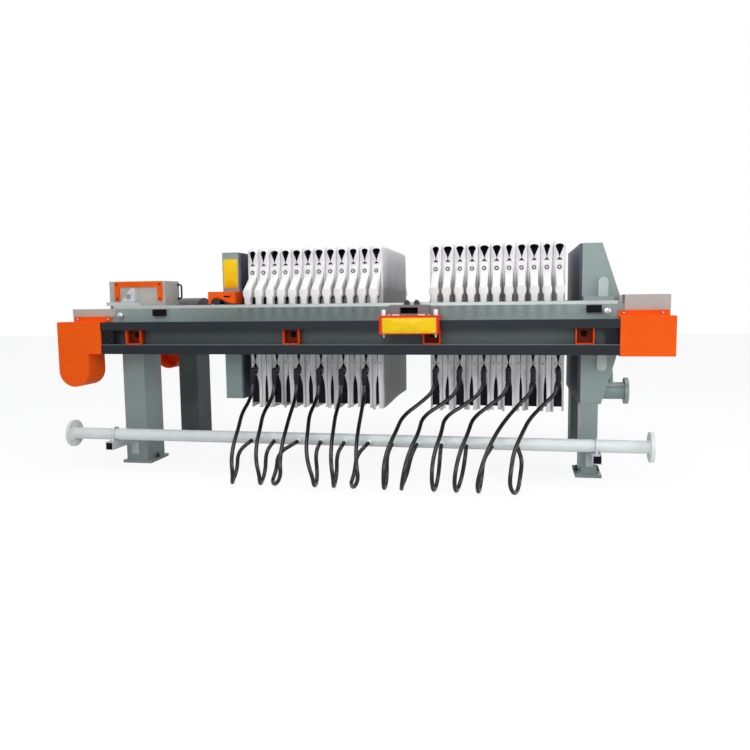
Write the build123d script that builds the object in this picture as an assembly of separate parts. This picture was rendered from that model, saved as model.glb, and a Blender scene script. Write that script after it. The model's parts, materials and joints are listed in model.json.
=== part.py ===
from build123d import *
import math
import os

# Plate filter press, 800 mm square plates hung between two side beams.
# Millimetres.  X runs along the press, from the hydraulic cylinder to the fixed head.
# The manifold and its hoses are on the -Y side.  Z = 0 is the floor.
# The origin is on the floor, under the middle of the press.

# Filter plates and their cloths
PLATE_SIDE = 800.0
PLATE_THICK = 54.0
PLATE_BOTTOM_Z = 338.0
RECESS_DEPTH = 14.0
RECESS_RIM = 44.0
CORNER_PORT_R = 30.0
CORNER_LAND = 32.0
CORNER_INSET = 74.0
CORNER_CUT_WIDE = 55.0
CORNER_CUT_TALL = 80.0
CORNER_NOTCH_DEEP = 36.0
CORNER_NOTCH_TALL = 155.0
CORNER_NOTCH_SLOPE = 40.0
FEED_HOLE_R = 45.0
CLOTH_THICK = 2.3
CLOTH_GAP = 0.2
CLOTH_CLEARANCE = 0.5
CLOTH_DROP = 14.0
CLOTH_RISE = 14.0
CLOTH_INSET = 3.0

# How the length is shared out, from the press's ends inward
BEAM_HALF_LENGTH = 1500.0
PRESSING_FACE_INSET = 896.0
FIXED_FACE_INSET = 388.0
FIRST_PLATE_GAP = 42.0
LAST_PLATE_GAP = 65.5
PACK_OPENING = 240.0

# Clearances
BORE_GAP = 0.1
SEAT_GAP = 0.3
WORK_GAP = 5.0
PLATE_SIDE_GAP = 45.0

# Side beams, wear strips and guide rails
BEAM_WIDE = 80.0
BEAM_TALL = 200.0
BEAM_TOP_RISE = 107.0
BEAM_WALL = 8.0
STRIP_TALL = 15.0
STRIP_WIDE = 50.0
RAIL_DEPTH = 75.0
RAIL_DROP = 69.0
RAIL_TALL = 164.0
RAIL_LIP_UPPER = 41.0
RAIL_LIP_LOWER = 49.0
RAIL_WALL = 6.0
BRACKET_WIDE = 84.0
BRACKET_WALL = 6.0
BRACKET_FRONT_GAP = 22.0

# Plate handles
HANDLE_ARM_WIDE = 40.0
HANDLE_BLOCK_WIDE = 46.0
HANDLE_FOOT_WIDE = 30.0
HANDLE_TIP_INSET = 15.0
HANDLE_FOOT = 50.0
HANDLE_TOP = 86.0
HANDLE_BLOCK_LOW = 28.0
HANDLE_CHAMFER = 9.0
HANDLE_BOLT_DROP = 115.0

# Heads
HEAD_THICK = 90.0
LINING_THICK = 10.0
HEAD_LOW_RISE = 24.0
HEAD_TOP_DROP = 6.0
HEAD_PLATE = 45.0
HEAD_RIM = 40.0
HEAD_BOSS = 35.0
FIXED_SIDE_GAP = 20.0
FIXED_PLATE = 50.0
FIXED_CHEEK = 30.0
FIXED_RIB_Y = 140.0
FIXED_SHELF = 25.0
FIXED_SHELF_RISE = 110.0
FIXED_TOP_DEPTH = 100.0
FIXED_BEAM_DEPTH = 182.0
FIXED_LOW_DEPTH = 106.0
CHEEK_BEND_DROP = 205.0
CHEEK_BEND_TALL = 50.0
CHEEK_BEND_DEPTH = 9.0
CHEEK_TOP_RISE = 28.0

# Hydraulic cylinder and its seat
BARREL_R = 140.0
BARREL_WALL = 25.0
BARREL_TAIL = 116.0
BARREL_NOSE = 24.0
BARREL_CAP = 24.0
GLAND_LENGTH = 50.0
ROD_R = 80.0
PISTON_THICK = 40.0
CYLINDER_HEAD_WALL = 22.5
SEAT_END_INSET = 166.0
SEAT_LENGTH = 320.0
SEAT_TOP_RISE = 145.0
SEAT_FAR_RISE = 25.0
SEAT_BLOCK_INSET = 16.0
SEAT_DROP = 5.0
SEAT_BOX_DEPTH = 167.0
SEAT_WEB_THICK = 140.0
SEAT_WEB_RISE = 104.0
CRADLE_WALL = 16.0
CRADLE_LOW = 14.0

# Legs
LEG_DEPTH = 192.0
LEG_SIDE_GAP = 16.0
LEG_WALL = 10.0
LEFT_LEG_INSET = 110.5
LEFT_LEG_WIDE = 123.0
LEFT_FOOT_WIDE = 166.0
RIGHT_LEG_INSET = 54.5
RIGHT_LEG_WIDE = 77.0
RIGHT_FOOT_WIDE = 124.0
FOOT_DEPTH = 204.0
FOOT_THICK = 16.0
ANCHOR_R = 7.0
ANCHOR_INSET = 11.0

# Chain guards at both ends
DRIVE_OVERHANG = 51.0
DRIVE_WIDE = 246.0
IDLER_OVERHANG = 17.0
GUARD_WIDE = 240.0
GUARD_DEPTH = 79.0
LOBE_DEPTH = 155.0
GUARD_WALL = 4.0
DRIVE_RISE = 3.0
DRIVE_TALL = 167.0
LOBE_R = 86.0
LOBE_DROP = 173.0
IDLER_RISE = 14.0
IDLER_TALL = 183.0
GUARD_FLANGE_TALL = 26.0

# Plate-shifting trolleys
TROLLEY_X = 320.0
TROLLEY_WIDE = 280.0
TROLLEY_FRONT = 65.0
TROLLEY_GAP = 6.0
TROLLEY_DROP = 62.0
TROLLEY_RISE = 24.0
TROLLEY_WALL = 5.0
CARRIER_WIDE = 189.0
CARRIER_DEPTH = 55.0
CARRIER_SLOT_WIDE = 87.0
CARRIER_SLOT_INSET = 50.0
CLAW_RISE = 25.0
CLAW_SPACING = 48.0
TROLLEY_PIN_R = 9.0
TROLLEY_PIN_TALL = 27.0
TROLLEY_PIN_INSET = 16.0

# Manifold and hoses
PIPE_R = 30.0
PIPE_WALL = 4.0
PIPE_Y = -600.0
PIPE_Z = 192.0
PIPE_LEFT_INSET = 8.0
PIPE_RIGHT_INSET = 70.0
PIPE_FLANGE_R = 70.0
PIPE_FLANGE_THICK = 16.0
PIPE_BOLT_PCD = 110.0
PIPE_BOLT_R = 7.0
STUB_FIRST_X = -465.0
STUB_PITCH = 117.3
STUB_R = 10.0
STUB_LENGTH = 52.0
STRUT_SIDE = 41.0
STRUT_WALL = 3.0
STRUT_REACH = 72.0
UBOLT_R = 5.0
HOSE_R = 9.5
PORT_RISE = 182.0
FITTING_REACH = 62.0
FITTING_R = 13.0
FITTING_DROP = 34.0

# Pipes behind the fixed head
OUTLET_Y = 300.0
OUTLET_RISE = 52.0
OUTLET_R = 42.0
OUTLET_LENGTH = 246.0
OUTLET_FLANGE_R = 65.0
FEED_R = 44.5
FEED_LENGTH = 288.0
FEED_FLANGE_R = 100.0
FEED_BOLT_PCD = 160.0
FEED_BOLT_R = 9.0
PIPE_BORE_WALL = 5.0
BIG_FLANGE_THICK = 18.0

# Places across the press and up it, worked out from the sizes above
PLATE_HALF = PLATE_SIDE / 2
PLATE_TOP_Z = PLATE_BOTTOM_Z + PLATE_SIDE
AXIS_Z = PLATE_BOTTOM_Z + PLATE_HALF
BEAM_INNER_Y = PLATE_HALF + PLATE_SIDE_GAP
BEAM_MID_Y = BEAM_INNER_Y + BEAM_WIDE / 2
BEAM_OUTER_Y = BEAM_INNER_Y + BEAM_WIDE
BEAM_TOP_Z = AXIS_Z + BEAM_TOP_RISE
BEAM_LOW_Z = BEAM_TOP_Z - BEAM_TALL
STRIP_TOP_Z = BEAM_TOP_Z + STRIP_TALL
RAIL_FRONT_Y = BEAM_OUTER_Y + RAIL_DEPTH
RAIL_TOP_Z = BEAM_TOP_Z - RAIL_DROP
RAIL_LOW_Z = RAIL_TOP_Z - RAIL_TALL
HANDLE_TIP_Y = -BEAM_OUTER_Y + HANDLE_TIP_INSET
HEAD_BOTTOM_Z = PLATE_BOTTOM_Z + HEAD_LOW_RISE
HEAD_TOP_Z = PLATE_TOP_Z - HEAD_TOP_DROP
FIXED_HALF_WIDTH = BEAM_INNER_Y - FIXED_SIDE_GAP
SEAT_OUTER_Y = BEAM_INNER_Y - SEAT_GAP
SEAT_TOP_Z = BEAM_TOP_Z + SEAT_TOP_RISE
SEAT_BOTTOM_Z = BEAM_LOW_Z - SEAT_DROP
LEG_OUTER_Y = BEAM_INNER_Y - LEG_SIDE_GAP
DRIVE_TOP_Z = RAIL_TOP_Z + DRIVE_RISE
DRIVE_BOTTOM_Z = DRIVE_TOP_Z - DRIVE_TALL
LOBE_BOTTOM_Z = DRIVE_BOTTOM_Z - LOBE_DROP
IDLER_TOP_Z = RAIL_TOP_Z + IDLER_RISE
IDLER_BOTTOM_Z = IDLER_TOP_Z - IDLER_TALL
TROLLEY_TOP_Z = RAIL_TOP_Z + TROLLEY_RISE
CARRIER_TOP_Z = BEAM_TOP_Z + WORK_GAP
PORT_Z = PLATE_BOTTOM_Z + PORT_RISE
OUTLET_Z = HEAD_BOTTOM_Z + OUTLET_RISE

# Places along the press
PLATE_PITCH = PLATE_THICK + 2 * (CLOTH_GAP + CLOTH_THICK) + CLOTH_CLEARANCE
PRESSING_FACE_X = -BEAM_HALF_LENGTH + PRESSING_FACE_INSET
FIXED_FACE_X = BEAM_HALF_LENGTH - FIXED_FACE_INSET
PACK_ROOM = FIXED_FACE_X - PRESSING_FACE_X - FIRST_PLATE_GAP - LAST_PLATE_GAP - PACK_OPENING
PLATE_COUNT = int(PACK_ROOM / PLATE_PITCH + 0.01)
RIGHT_COUNT = PLATE_COUNT // 2
LEFT_COUNT = PLATE_COUNT - RIGHT_COUNT
LEFT_PACK_X = PRESSING_FACE_X + FIRST_PLATE_GAP
RIGHT_PACK_X = FIXED_FACE_X - LAST_PLATE_GAP - RIGHT_COUNT * PLATE_PITCH
LEFT_PACK_END_X = LEFT_PACK_X + LEFT_COUNT * PLATE_PITCH
HEAD_BACK_X = PRESSING_FACE_X - LINING_THICK - HEAD_THICK
STROKE = FIRST_PLATE_GAP + LAST_PLATE_GAP + RIGHT_PACK_X - LEFT_PACK_END_X - 3 * WORK_GAP
SEAT_LEFT_X = -BEAM_HALF_LENGTH + SEAT_END_INSET
SEAT_RIGHT_X = SEAT_LEFT_X + SEAT_LENGTH
BARREL_LEFT_X = SEAT_LEFT_X - BARREL_TAIL
BARREL_RIGHT_X = SEAT_RIGHT_X + BARREL_NOSE
LEFT_LEG_X = SEAT_LEFT_X + LEFT_LEG_INSET
RIGHT_LEG_X = FIXED_FACE_X + RIGHT_LEG_INSET
PRESS_HALF_LENGTH = BEAM_HALF_LENGTH + DRIVE_OVERHANG
DRIVE_INNER_X = PRESS_HALF_LENGTH - DRIVE_WIDE
IDLER_END_X = BEAM_HALF_LENGTH + IDLER_OVERHANG
GUARD_INNER_X = IDLER_END_X - GUARD_WIDE
PIPE_LEFT_X = -BEAM_HALF_LENGTH + PIPE_LEFT_INSET
PIPE_RIGHT_X = BEAM_HALF_LENGTH - PIPE_RIGHT_INSET

os.makedirs("parts", exist_ok=True)
parts = {}


def block(x0, x1, y0, y1, z0, z1):
    """A box between two corners."""
    return Pos((x0 + x1) / 2, (y0 + y1) / 2, (z0 + z1) / 2) * Box(abs(x1 - x0), abs(y1 - y0), abs(z1 - z0))


def rod_x(x0, x1, y, z, radius):
    """A round bar along X."""
    return Pos((x0 + x1) / 2, y, z) * Rot(0, 90, 0) * Cylinder(radius, abs(x1 - x0))


def rod_y(x, y0, y1, z, radius):
    """A round bar along Y."""
    return Pos(x, (y0 + y1) / 2, z) * Rot(90, 0, 0) * Cylinder(radius, abs(y1 - y0))


def rod_z(x, y, z0, z1, radius):
    """A round bar along Z."""
    return Pos(x, y, (z0 + z1) / 2) * Cylinder(radius, abs(z1 - z0))


def prism_xz(points, y0, y1):
    """A profile of (x, z) corners carried along Y from y0 to y1."""
    outline = Plane.XZ * make_face(Polyline(*points, close=True))
    return Pos(0, y1, 0) * extrude(outline, y1 - y0)


def prism_yz(points, x0, x1):
    """A profile of (y, z) corners carried along X from x0 to x1."""
    outline = Plane.YZ * make_face(Polyline(*points, close=True))
    return Pos(x0, 0, 0) * extrude(outline, x1 - x0)


def far(shape):
    """The same piece on the far side of the press."""
    return mirror(shape, about=Plane.XZ)


# Filter plates: a square slab with a shallow chamber on each face, a feed hole and four corner ports

def chamber():
    corner = PLATE_HALF - CORNER_INSET
    side_length = PLATE_SIDE - 2 * RECESS_RIM
    outline = Rectangle(side_length, side_length)
    for side in (-1, 1):
        for level in (-1, 1):
            outline -= Pos(side * corner, level * corner) * Circle(CORNER_PORT_R + CORNER_LAND)
            square = Rectangle(2 * CORNER_INSET, 2 * CORNER_INSET)
            outline -= Pos(side * PLATE_HALF, level * PLATE_HALF) * square
    return extrude(Plane.YZ * outline, RECESS_DEPTH)


def corner_cuts():
    """The bevel at a plate's -Y upper corner and the tall notch at its lower one."""
    edge = -PLATE_HALF - 1
    top = PLATE_HALF + 1
    bevel = [(edge, top), (edge, top - CORNER_CUT_TALL - 1), (edge + CORNER_CUT_WIDE + 1, top)]
    slope_z = CORNER_NOTCH_TALL - CORNER_NOTCH_SLOPE - PLATE_HALF
    notch = [(edge, -top), (edge + CORNER_NOTCH_DEEP + 1, -top), (edge + CORNER_NOTCH_DEEP + 1, slope_z),
             (edge, slope_z + CORNER_NOTCH_SLOPE)]
    return [prism_yz(outline, -PLATE_THICK, PLATE_THICK) for outline in (bevel, notch)]


def filter_plate():
    """A recessed plate.  Its corners are cut back, so the cloths stand free there."""
    corner = PLATE_HALF - CORNER_INSET
    plate = Box(PLATE_THICK, PLATE_SIDE, PLATE_SIDE)
    hollow = chamber()
    plate -= Pos(PLATE_THICK / 2 - RECESS_DEPTH, 0, 0) * hollow
    plate -= Pos(-PLATE_THICK / 2, 0, 0) * hollow
    plate -= rod_x(-PLATE_THICK, PLATE_THICK, 0, 0, FEED_HOLE_R)
    for side in (-1, 1):
        for level in (-1, 1):
            plate -= rod_x(-PLATE_THICK, PLATE_THICK, side * corner, level * corner, CORNER_PORT_R)
    for cut in corner_cuts():
        plate -= cut
        plate -= far(cut)
    return plate


def filter_cloth():
    inner = PLATE_THICK / 2 + CLOTH_GAP
    outer = inner + CLOTH_THICK
    top = PLATE_HALF + CLOTH_GAP
    low = -PLATE_HALF - CLOTH_DROP
    peak = top + CLOTH_RISE
    half_wide = PLATE_HALF - CLOTH_INSET
    outline = [(-outer, low), (-outer, top - CLOTH_RISE), (-inner, peak), (inner, peak),
               (outer, top - CLOTH_RISE),
               (outer, low), (inner, low), (inner, top), (-inner, top), (-inner, low)]
    return prism_xz(outline, -half_wide, half_wide)


def plate_handle():
    """The cranked arm that hangs a plate's -Y edge on the wear strip: arm, block and narrow foot."""
    edge = -PLATE_HALF
    tip = HANDLE_TIP_Y
    heel = tip + HANDLE_FOOT
    foot = STRIP_TOP_Z + SEAT_GAP
    low = foot + HANDLE_BLOCK_LOW
    top = foot + HANDLE_TOP
    bolt_z = PLATE_TOP_Z - HANDLE_BOLT_DROP
    arm_outline = [(edge, bolt_z + 32), (edge - 14, bolt_z + 32), (edge - 20, bolt_z - 22), (tip, top),
                   (tip, low + HANDLE_CHAMFER), (heel, low + HANDLE_CHAMFER), (edge, bolt_z - 72)]
    arm = prism_yz(arm_outline, -HANDLE_ARM_WIDE / 2, HANDLE_ARM_WIDE / 2)
    half = HANDLE_BLOCK_WIDE / 2
    block_outline = [(-half, top), (half, top), (half, low + HANDLE_CHAMFER), (half - HANDLE_CHAMFER, low),
                     (HANDLE_CHAMFER - half, low), (-half, low + HANDLE_CHAMFER)]
    arm += prism_xz(block_outline, tip, heel)
    arm += block(-HANDLE_FOOT_WIDE / 2, HANDLE_FOOT_WIDE / 2, tip, heel, foot, low + 1)
    return arm


def hose_fitting():
    """A nipple and elbow in a membrane plate's edge, turned down to take a hose."""
    edge = -PLATE_HALF
    turn = edge - FITTING_REACH
    fitting = rod_y(0, edge, turn, PORT_Z, FITTING_R)
    fitting += Pos(0, turn, PORT_Z) * Sphere(FITTING_R)
    fitting += rod_z(0, turn, PORT_Z - FITTING_DROP, PORT_Z, FITTING_R)
    return fitting


plate_shape = filter_plate()
cloth_shape = filter_cloth()
handle_shape = plate_handle()
fitting_shape = hose_fitting()


def plate_places(first, count):
    return [first + PLATE_PITCH * (n + 0.5) for n in range(count)]


for side, first, count in (("left", LEFT_PACK_X, LEFT_COUNT), ("right", RIGHT_PACK_X, RIGHT_COUNT)):
    places = plate_places(first, count)
    parts[side + "_plates"] = [Pos(x, 0, AXIS_Z) * plate_shape for x in places]
    parts[side + "_cloths"] = [Pos(x, 0, AXIS_Z) * cloth_shape for x in places]
    parts[side + "_handles"] = [Pos(x, 0, 0) * handle_shape for x in places]
    parts[side + "_handles"] += [far(Pos(x, 0, 0) * handle_shape) for x in places]
    parts[side + "_fittings"] = [Pos(x, 0, 0) * fitting_shape for x in places[::2]]


# Side beams: closed box sections with a bright wear strip on top

def side_beam():
    beam = block(-BEAM_HALF_LENGTH, BEAM_HALF_LENGTH, -BEAM_OUTER_Y, -BEAM_INNER_Y, BEAM_LOW_Z, BEAM_TOP_Z)
    beam -= block(-BEAM_HALF_LENGTH, BEAM_HALF_LENGTH, -BEAM_OUTER_Y + BEAM_WALL, -BEAM_INNER_Y - BEAM_WALL,
                  BEAM_LOW_Z + BEAM_WALL, BEAM_TOP_Z - BEAM_WALL)
    return beam


strip = block(-GUARD_INNER_X, GUARD_INNER_X, -BEAM_MID_Y - STRIP_WIDE / 2, -BEAM_MID_Y + STRIP_WIDE / 2,
              BEAM_TOP_Z, STRIP_TOP_Z)
beam = side_beam()
parts["near_beam"] = [beam]
parts["far_beam"] = [far(beam)]
parts["wear_strips"] = [strip, far(strip)]


# Guide rail: a C section open to the outside, with brackets for the chain inside it

def guide_rail():
    left = -DRIVE_INNER_X + SEAT_GAP
    right = GUARD_INNER_X - SEAT_GAP
    rail = block(left, right, -RAIL_FRONT_Y, -BEAM_OUTER_Y, RAIL_LOW_Z, RAIL_TOP_Z)
    rail -= block(left, right, -RAIL_FRONT_Y + RAIL_WALL, -BEAM_OUTER_Y - RAIL_WALL, RAIL_LOW_Z + RAIL_WALL,
                  RAIL_TOP_Z - RAIL_WALL)
    rail -= block(left, right, -RAIL_FRONT_Y, -RAIL_FRONT_Y + RAIL_WALL, RAIL_LOW_Z + RAIL_LIP_LOWER,
                  RAIL_TOP_Z - RAIL_LIP_UPPER)
    return rail


OUTER_BRACKET_SHIFTS = (89.5, 41.5)
MIDDLE_BRACKET_SHIFTS = (941.5, 748.5)
BRACKET_PLACES = (LEFT_LEG_X + OUTER_BRACKET_SHIFTS[0], LEFT_LEG_X + MIDDLE_BRACKET_SHIFTS[0],
                  RIGHT_LEG_X - MIDDLE_BRACKET_SHIFTS[1], RIGHT_LEG_X - OUTER_BRACKET_SHIFTS[1])


def rail_bracket(x):
    """A U-shaped bracket that stands in the rail's open side."""
    low = RAIL_LOW_Z + RAIL_LIP_LOWER
    high = RAIL_TOP_Z - RAIL_LIP_UPPER
    back = -BEAM_OUTER_Y - RAIL_WALL
    front = -RAIL_FRONT_Y + BRACKET_FRONT_GAP
    bracket = block(x - BRACKET_WIDE / 2, x + BRACKET_WIDE / 2, front, back, low, high)
    bracket -= block(x - BRACKET_WIDE / 2 + BRACKET_WALL, x + BRACKET_WIDE / 2 - BRACKET_WALL, front,
                     back - BRACKET_WALL, low + BRACKET_WALL, high)
    return bracket


rail = guide_rail()
brackets = [rail_bracket(x) for x in BRACKET_PLACES]
parts["near_guide_rail"] = [rail]
parts["far_guide_rail"] = [far(rail)]
parts["rail_brackets"] = brackets + [far(bracket) for bracket in brackets]


# Chain guards: sheet-metal housings, open at the back against the beam

def drive_outline(inset):
    left = -PRESS_HALF_LENGTH + inset
    right = -DRIVE_INNER_X - inset
    mid = (DRIVE_TOP_Z + DRIVE_BOTTOM_Z) / 2
    return Pos((left + right) / 2, mid) * Rectangle(right - left, DRIVE_TOP_Z - DRIVE_BOTTOM_Z - 2 * inset)


def lobe_outline(inset):
    """The round-bottomed part that hangs under the beam."""
    lobe_z = LOBE_BOTTOM_Z + LOBE_R
    lobe_x = LOBE_R - PRESS_HALF_LENGTH
    top = DRIVE_BOTTOM_Z - inset
    neck = Pos(lobe_x, (lobe_z + top) / 2) * Rectangle(2 * (LOBE_R - inset), top - lobe_z)
    return neck + Pos(lobe_x, lobe_z) * Circle(LOBE_R - inset)


def drive_lobe():
    back = -BEAM_OUTER_Y - SEAT_GAP - GUARD_DEPTH + LOBE_DEPTH
    lobe = Pos(0, back, 0) * extrude(Plane.XZ * lobe_outline(0), LOBE_DEPTH)
    return lobe - Pos(0, back, 0) * extrude(Plane.XZ * lobe_outline(GUARD_WALL), LOBE_DEPTH - GUARD_WALL)


def guard(outer, inner):
    shell = Pos(0, -BEAM_OUTER_Y - SEAT_GAP, 0) * extrude(Plane.XZ * outer, GUARD_DEPTH)
    shell -= Pos(0, -BEAM_OUTER_Y - SEAT_GAP, 0) * extrude(Plane.XZ * inner, GUARD_DEPTH - GUARD_WALL)
    return shell


def guard_flange(left, right, low):
    return block(left, right, -BEAM_OUTER_Y - GUARD_WALL - SEAT_GAP, -BEAM_OUTER_Y - SEAT_GAP, low,
                 low + GUARD_FLANGE_TALL)


drive_guard = guard(drive_outline(0), drive_outline(GUARD_WALL)) + drive_lobe()
drive_guard += guard_flange(-BEAM_HALF_LENGTH, -GUARD_INNER_X, DRIVE_TOP_Z)
idler_mid = Pos(IDLER_END_X - GUARD_WIDE / 2, (IDLER_TOP_Z + IDLER_BOTTOM_Z) / 2)
idler_guard = guard(idler_mid * Rectangle(GUARD_WIDE, IDLER_TALL),
                    idler_mid * Rectangle(GUARD_WIDE - 2 * GUARD_WALL, IDLER_TALL - 2 * GUARD_WALL))
idler_guard += guard_flange(GUARD_INNER_X, BEAM_HALF_LENGTH, IDLER_TOP_Z)
parts["near_drive_guard"] = [drive_guard]
parts["far_drive_guard"] = [far(drive_guard)]
parts["near_idler_guard"] = [idler_guard]
parts["far_idler_guard"] = [far(idler_guard)]

# End plates on the beams, buffers that stop the trolleys, and the tie bolts

END_PLATE_THICK = 4.0
END_RIGHT_TOP_Z = BEAM_TOP_Z + 42.0
BUFFER_TALL = 34.0
BUFFER_WIDE = 66.0
BUFFER_DEPTH = 26.0
BUFFER_Z = BEAM_TOP_Z - 22.0
LEFT_BUFFER_X = SEAT_RIGHT_X + 13.0
RIGHT_BUFFER_X = FIXED_FACE_X + 55.0
TIE_BOLT_R = 16.0
TIE_BOLT_HEAD = 18.0
TIE_BOLT_Z = BEAM_TOP_Z - 34.0
RIGHT_TIE_SHIFT = 60.0


def end_plate(left, right, low, high, side):
    """A folded cap on the outside and top of a beam's end."""
    outer = -BEAM_OUTER_Y - SEAT_GAP
    top = BEAM_TOP_Z + SEAT_GAP
    end = side * BEAM_HALF_LENGTH
    cap = block(left, right, outer - END_PLATE_THICK, outer, low, high)
    cap += block(end, end + side * END_PLATE_THICK, outer - END_PLATE_THICK, outer, low, high)
    if high > top + END_PLATE_THICK:
        cap += block(left, right, outer, -BEAM_INNER_Y, high - END_PLATE_THICK, high)
        cap += block(left, right, -BEAM_INNER_Y - END_PLATE_THICK, -BEAM_INNER_Y, top, high)
    cap += block(end, end + side * END_PLATE_THICK, outer, -BEAM_INNER_Y, BEAM_LOW_Z, high)
    return cap


def beam_buffer(x):
    return block(x - BUFFER_WIDE / 2, x + BUFFER_WIDE / 2, -BEAM_OUTER_Y - BUFFER_DEPTH, -BEAM_OUTER_Y,
                 BUFFER_Z - BUFFER_TALL / 2, BUFFER_Z + BUFFER_TALL / 2)


def tie_bolt(x):
    return rod_y(x, -BEAM_OUTER_Y - TIE_BOLT_HEAD, -BEAM_OUTER_Y, TIE_BOLT_Z, TIE_BOLT_R)


left_end = end_plate(-BEAM_HALF_LENGTH, -GUARD_INNER_X + 20, DRIVE_TOP_Z + GUARD_FLANGE_TALL + SEAT_GAP,
                     BEAM_TOP_Z, -1)
right_end = end_plate(GUARD_INNER_X + 26, BEAM_HALF_LENGTH, IDLER_TOP_Z + GUARD_FLANGE_TALL + SEAT_GAP,
                      END_RIGHT_TOP_Z, 1)
parts["beam_end_plates"] = [left_end, right_end, far(left_end), far(right_end)]
buffers = [beam_buffer(LEFT_BUFFER_X), beam_buffer(RIGHT_BUFFER_X)]
parts["beam_buffers"] = buffers + [far(buffer) for buffer in buffers]
bolts = [tie_bolt(LEFT_LEG_X), tie_bolt(RIGHT_LEG_X + RIGHT_TIE_SHIFT)]
parts["tie_bolts"] = bolts + [far(bolt) for bolt in bolts]


# Fixed head: a thick plate stiffened by tapering cheeks and ribs behind

def fixed_head():
    face = FIXED_FACE_X + LINING_THICK
    back = face + FIXED_PLATE
    top_x = FIXED_FACE_X + FIXED_TOP_DEPTH
    wide_x = FIXED_FACE_X + FIXED_BEAM_DEPTH
    low_x = FIXED_FACE_X + FIXED_LOW_DEPTH
    bend_z = BEAM_TOP_Z - CHEEK_BEND_DROP
    cheek_outline = [(face, HEAD_BOTTOM_Z), (low_x, HEAD_BOTTOM_Z),
                     (wide_x - CHEEK_BEND_DEPTH, bend_z - CHEEK_BEND_TALL), (wide_x, bend_z),
                     (wide_x, STRIP_TOP_Z + CHEEK_TOP_RISE), (top_x, HEAD_TOP_Z), (face, HEAD_TOP_Z)]
    half = FIXED_HALF_WIDTH
    shelf_x = wide_x - FIXED_SHELF
    head = block(face, back, -half, half, HEAD_BOTTOM_Z, HEAD_TOP_Z)
    for mid in (-half + FIXED_CHEEK / 2, -FIXED_RIB_Y, FIXED_RIB_Y, half - FIXED_CHEEK / 2):
        head += prism_xz(cheek_outline, mid - FIXED_CHEEK / 2, mid + FIXED_CHEEK / 2)
    for low in (AXIS_Z + FIXED_SHELF_RISE, AXIS_Z - FIXED_SHELF_RISE - FIXED_SHELF):
        head += block(face, shelf_x, -half, half, low, low + FIXED_SHELF)
    head += block(face, low_x, -half, half, HEAD_BOTTOM_Z, HEAD_BOTTOM_Z + FIXED_SHELF)
    head -= rod_x(face - 1, wide_x + 1, 0, AXIS_Z, FEED_R + SEAT_GAP)
    for y in (-OUTLET_Y, OUTLET_Y):
        head -= rod_x(face - 1, wide_x + 1, y, OUTLET_Z, OUTLET_R + SEAT_GAP)
    return head


def fixed_lining():
    lining = block(FIXED_FACE_X, FIXED_FACE_X + LINING_THICK, -PLATE_HALF, PLATE_HALF, HEAD_BOTTOM_Z,
                   HEAD_TOP_Z)
    lining -= rod_x(FIXED_FACE_X - 1, FIXED_FACE_X + LINING_THICK + 1, 0, AXIS_Z, FEED_HOLE_R)
    return lining


parts["fixed_head"] = [fixed_head()]
parts["fixed_head_lining"] = [fixed_lining()]

# Tie lugs between the fixed head's cheeks and the beams, and the blocks that carry its weight on them

LUG_INSET = 105.5
LUG_WIDE = 45.0
LUG_DROP = 213.0
LUG_RISE = 233.0
LUG_X = FIXED_FACE_X + LUG_INSET
LUG_LOW_Z = AXIS_Z - LUG_DROP
LUG_HIGH_Z = AXIS_Z + LUG_RISE
BLOCK_WIDE = 166.0
BLOCK_TALL = 20.0


def tie_lug():
    mid = (LUG_LOW_Z + LUG_HIGH_Z) / 2
    outline = Pos(LUG_X, mid) * SlotOverall(LUG_HIGH_Z - LUG_LOW_Z, LUG_WIDE, rotation=90)
    return Pos(0, -FIXED_HALF_WIDTH, 0) * extrude(Plane.XZ * outline, BEAM_INNER_Y - FIXED_HALF_WIDTH)


def rest_block(left, right, inner_y):
    return block(left, right, -BEAM_MID_Y - STRIP_WIDE / 2, inner_y, STRIP_TOP_Z, STRIP_TOP_Z + BLOCK_TALL)


lug = tie_lug()
parts["tie_lugs"] = [lug, far(lug)]
fixed_block = rest_block(FIXED_FACE_X + LINING_THICK, FIXED_FACE_X + LINING_THICK + BLOCK_WIDE - 30,
                         -FIXED_HALF_WIDTH)
fixed_block -= Pos(LUG_X, -BEAM_INNER_Y + 10, STRIP_TOP_Z) * Box(LUG_WIDE + 1, 25.0, 3 * BLOCK_TALL)
seat_block_x = SEAT_LEFT_X + SEAT_BLOCK_INSET
seat_block = rest_block(seat_block_x, seat_block_x + BLOCK_WIDE, -SEAT_OUTER_Y)
parts["rest_blocks"] = [fixed_block, seat_block, far(fixed_block), far(seat_block)]


# Cylinder seat: two side boxes joined by a thick web that carries the barrel

def cylinder_seat():
    inner_y = SEAT_OUTER_Y - SEAT_BOX_DEPTH
    seat = block(SEAT_LEFT_X, SEAT_RIGHT_X, -SEAT_OUTER_Y, -inner_y, SEAT_BOTTOM_Z, SEAT_TOP_Z)
    seat += block(SEAT_LEFT_X, SEAT_RIGHT_X, inner_y, SEAT_OUTER_Y, SEAT_BOTTOM_Z, BEAM_TOP_Z + SEAT_FAR_RISE)
    web_left = LEFT_LEG_X - SEAT_WEB_THICK / 2
    web_right = LEFT_LEG_X + SEAT_WEB_THICK / 2
    cradle = BARREL_R + CRADLE_WALL
    seat += block(web_left, web_right, -inner_y, inner_y, SEAT_BOTTOM_Z, AXIS_Z + SEAT_WEB_RISE)
    seat += block(web_left, web_right, -cradle, cradle, AXIS_Z - BARREL_R - CRADLE_LOW, SEAT_BOTTOM_Z)
    seat -= rod_x(SEAT_LEFT_X, SEAT_RIGHT_X, 0, AXIS_Z, BARREL_R + BORE_GAP)
    return seat


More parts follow.
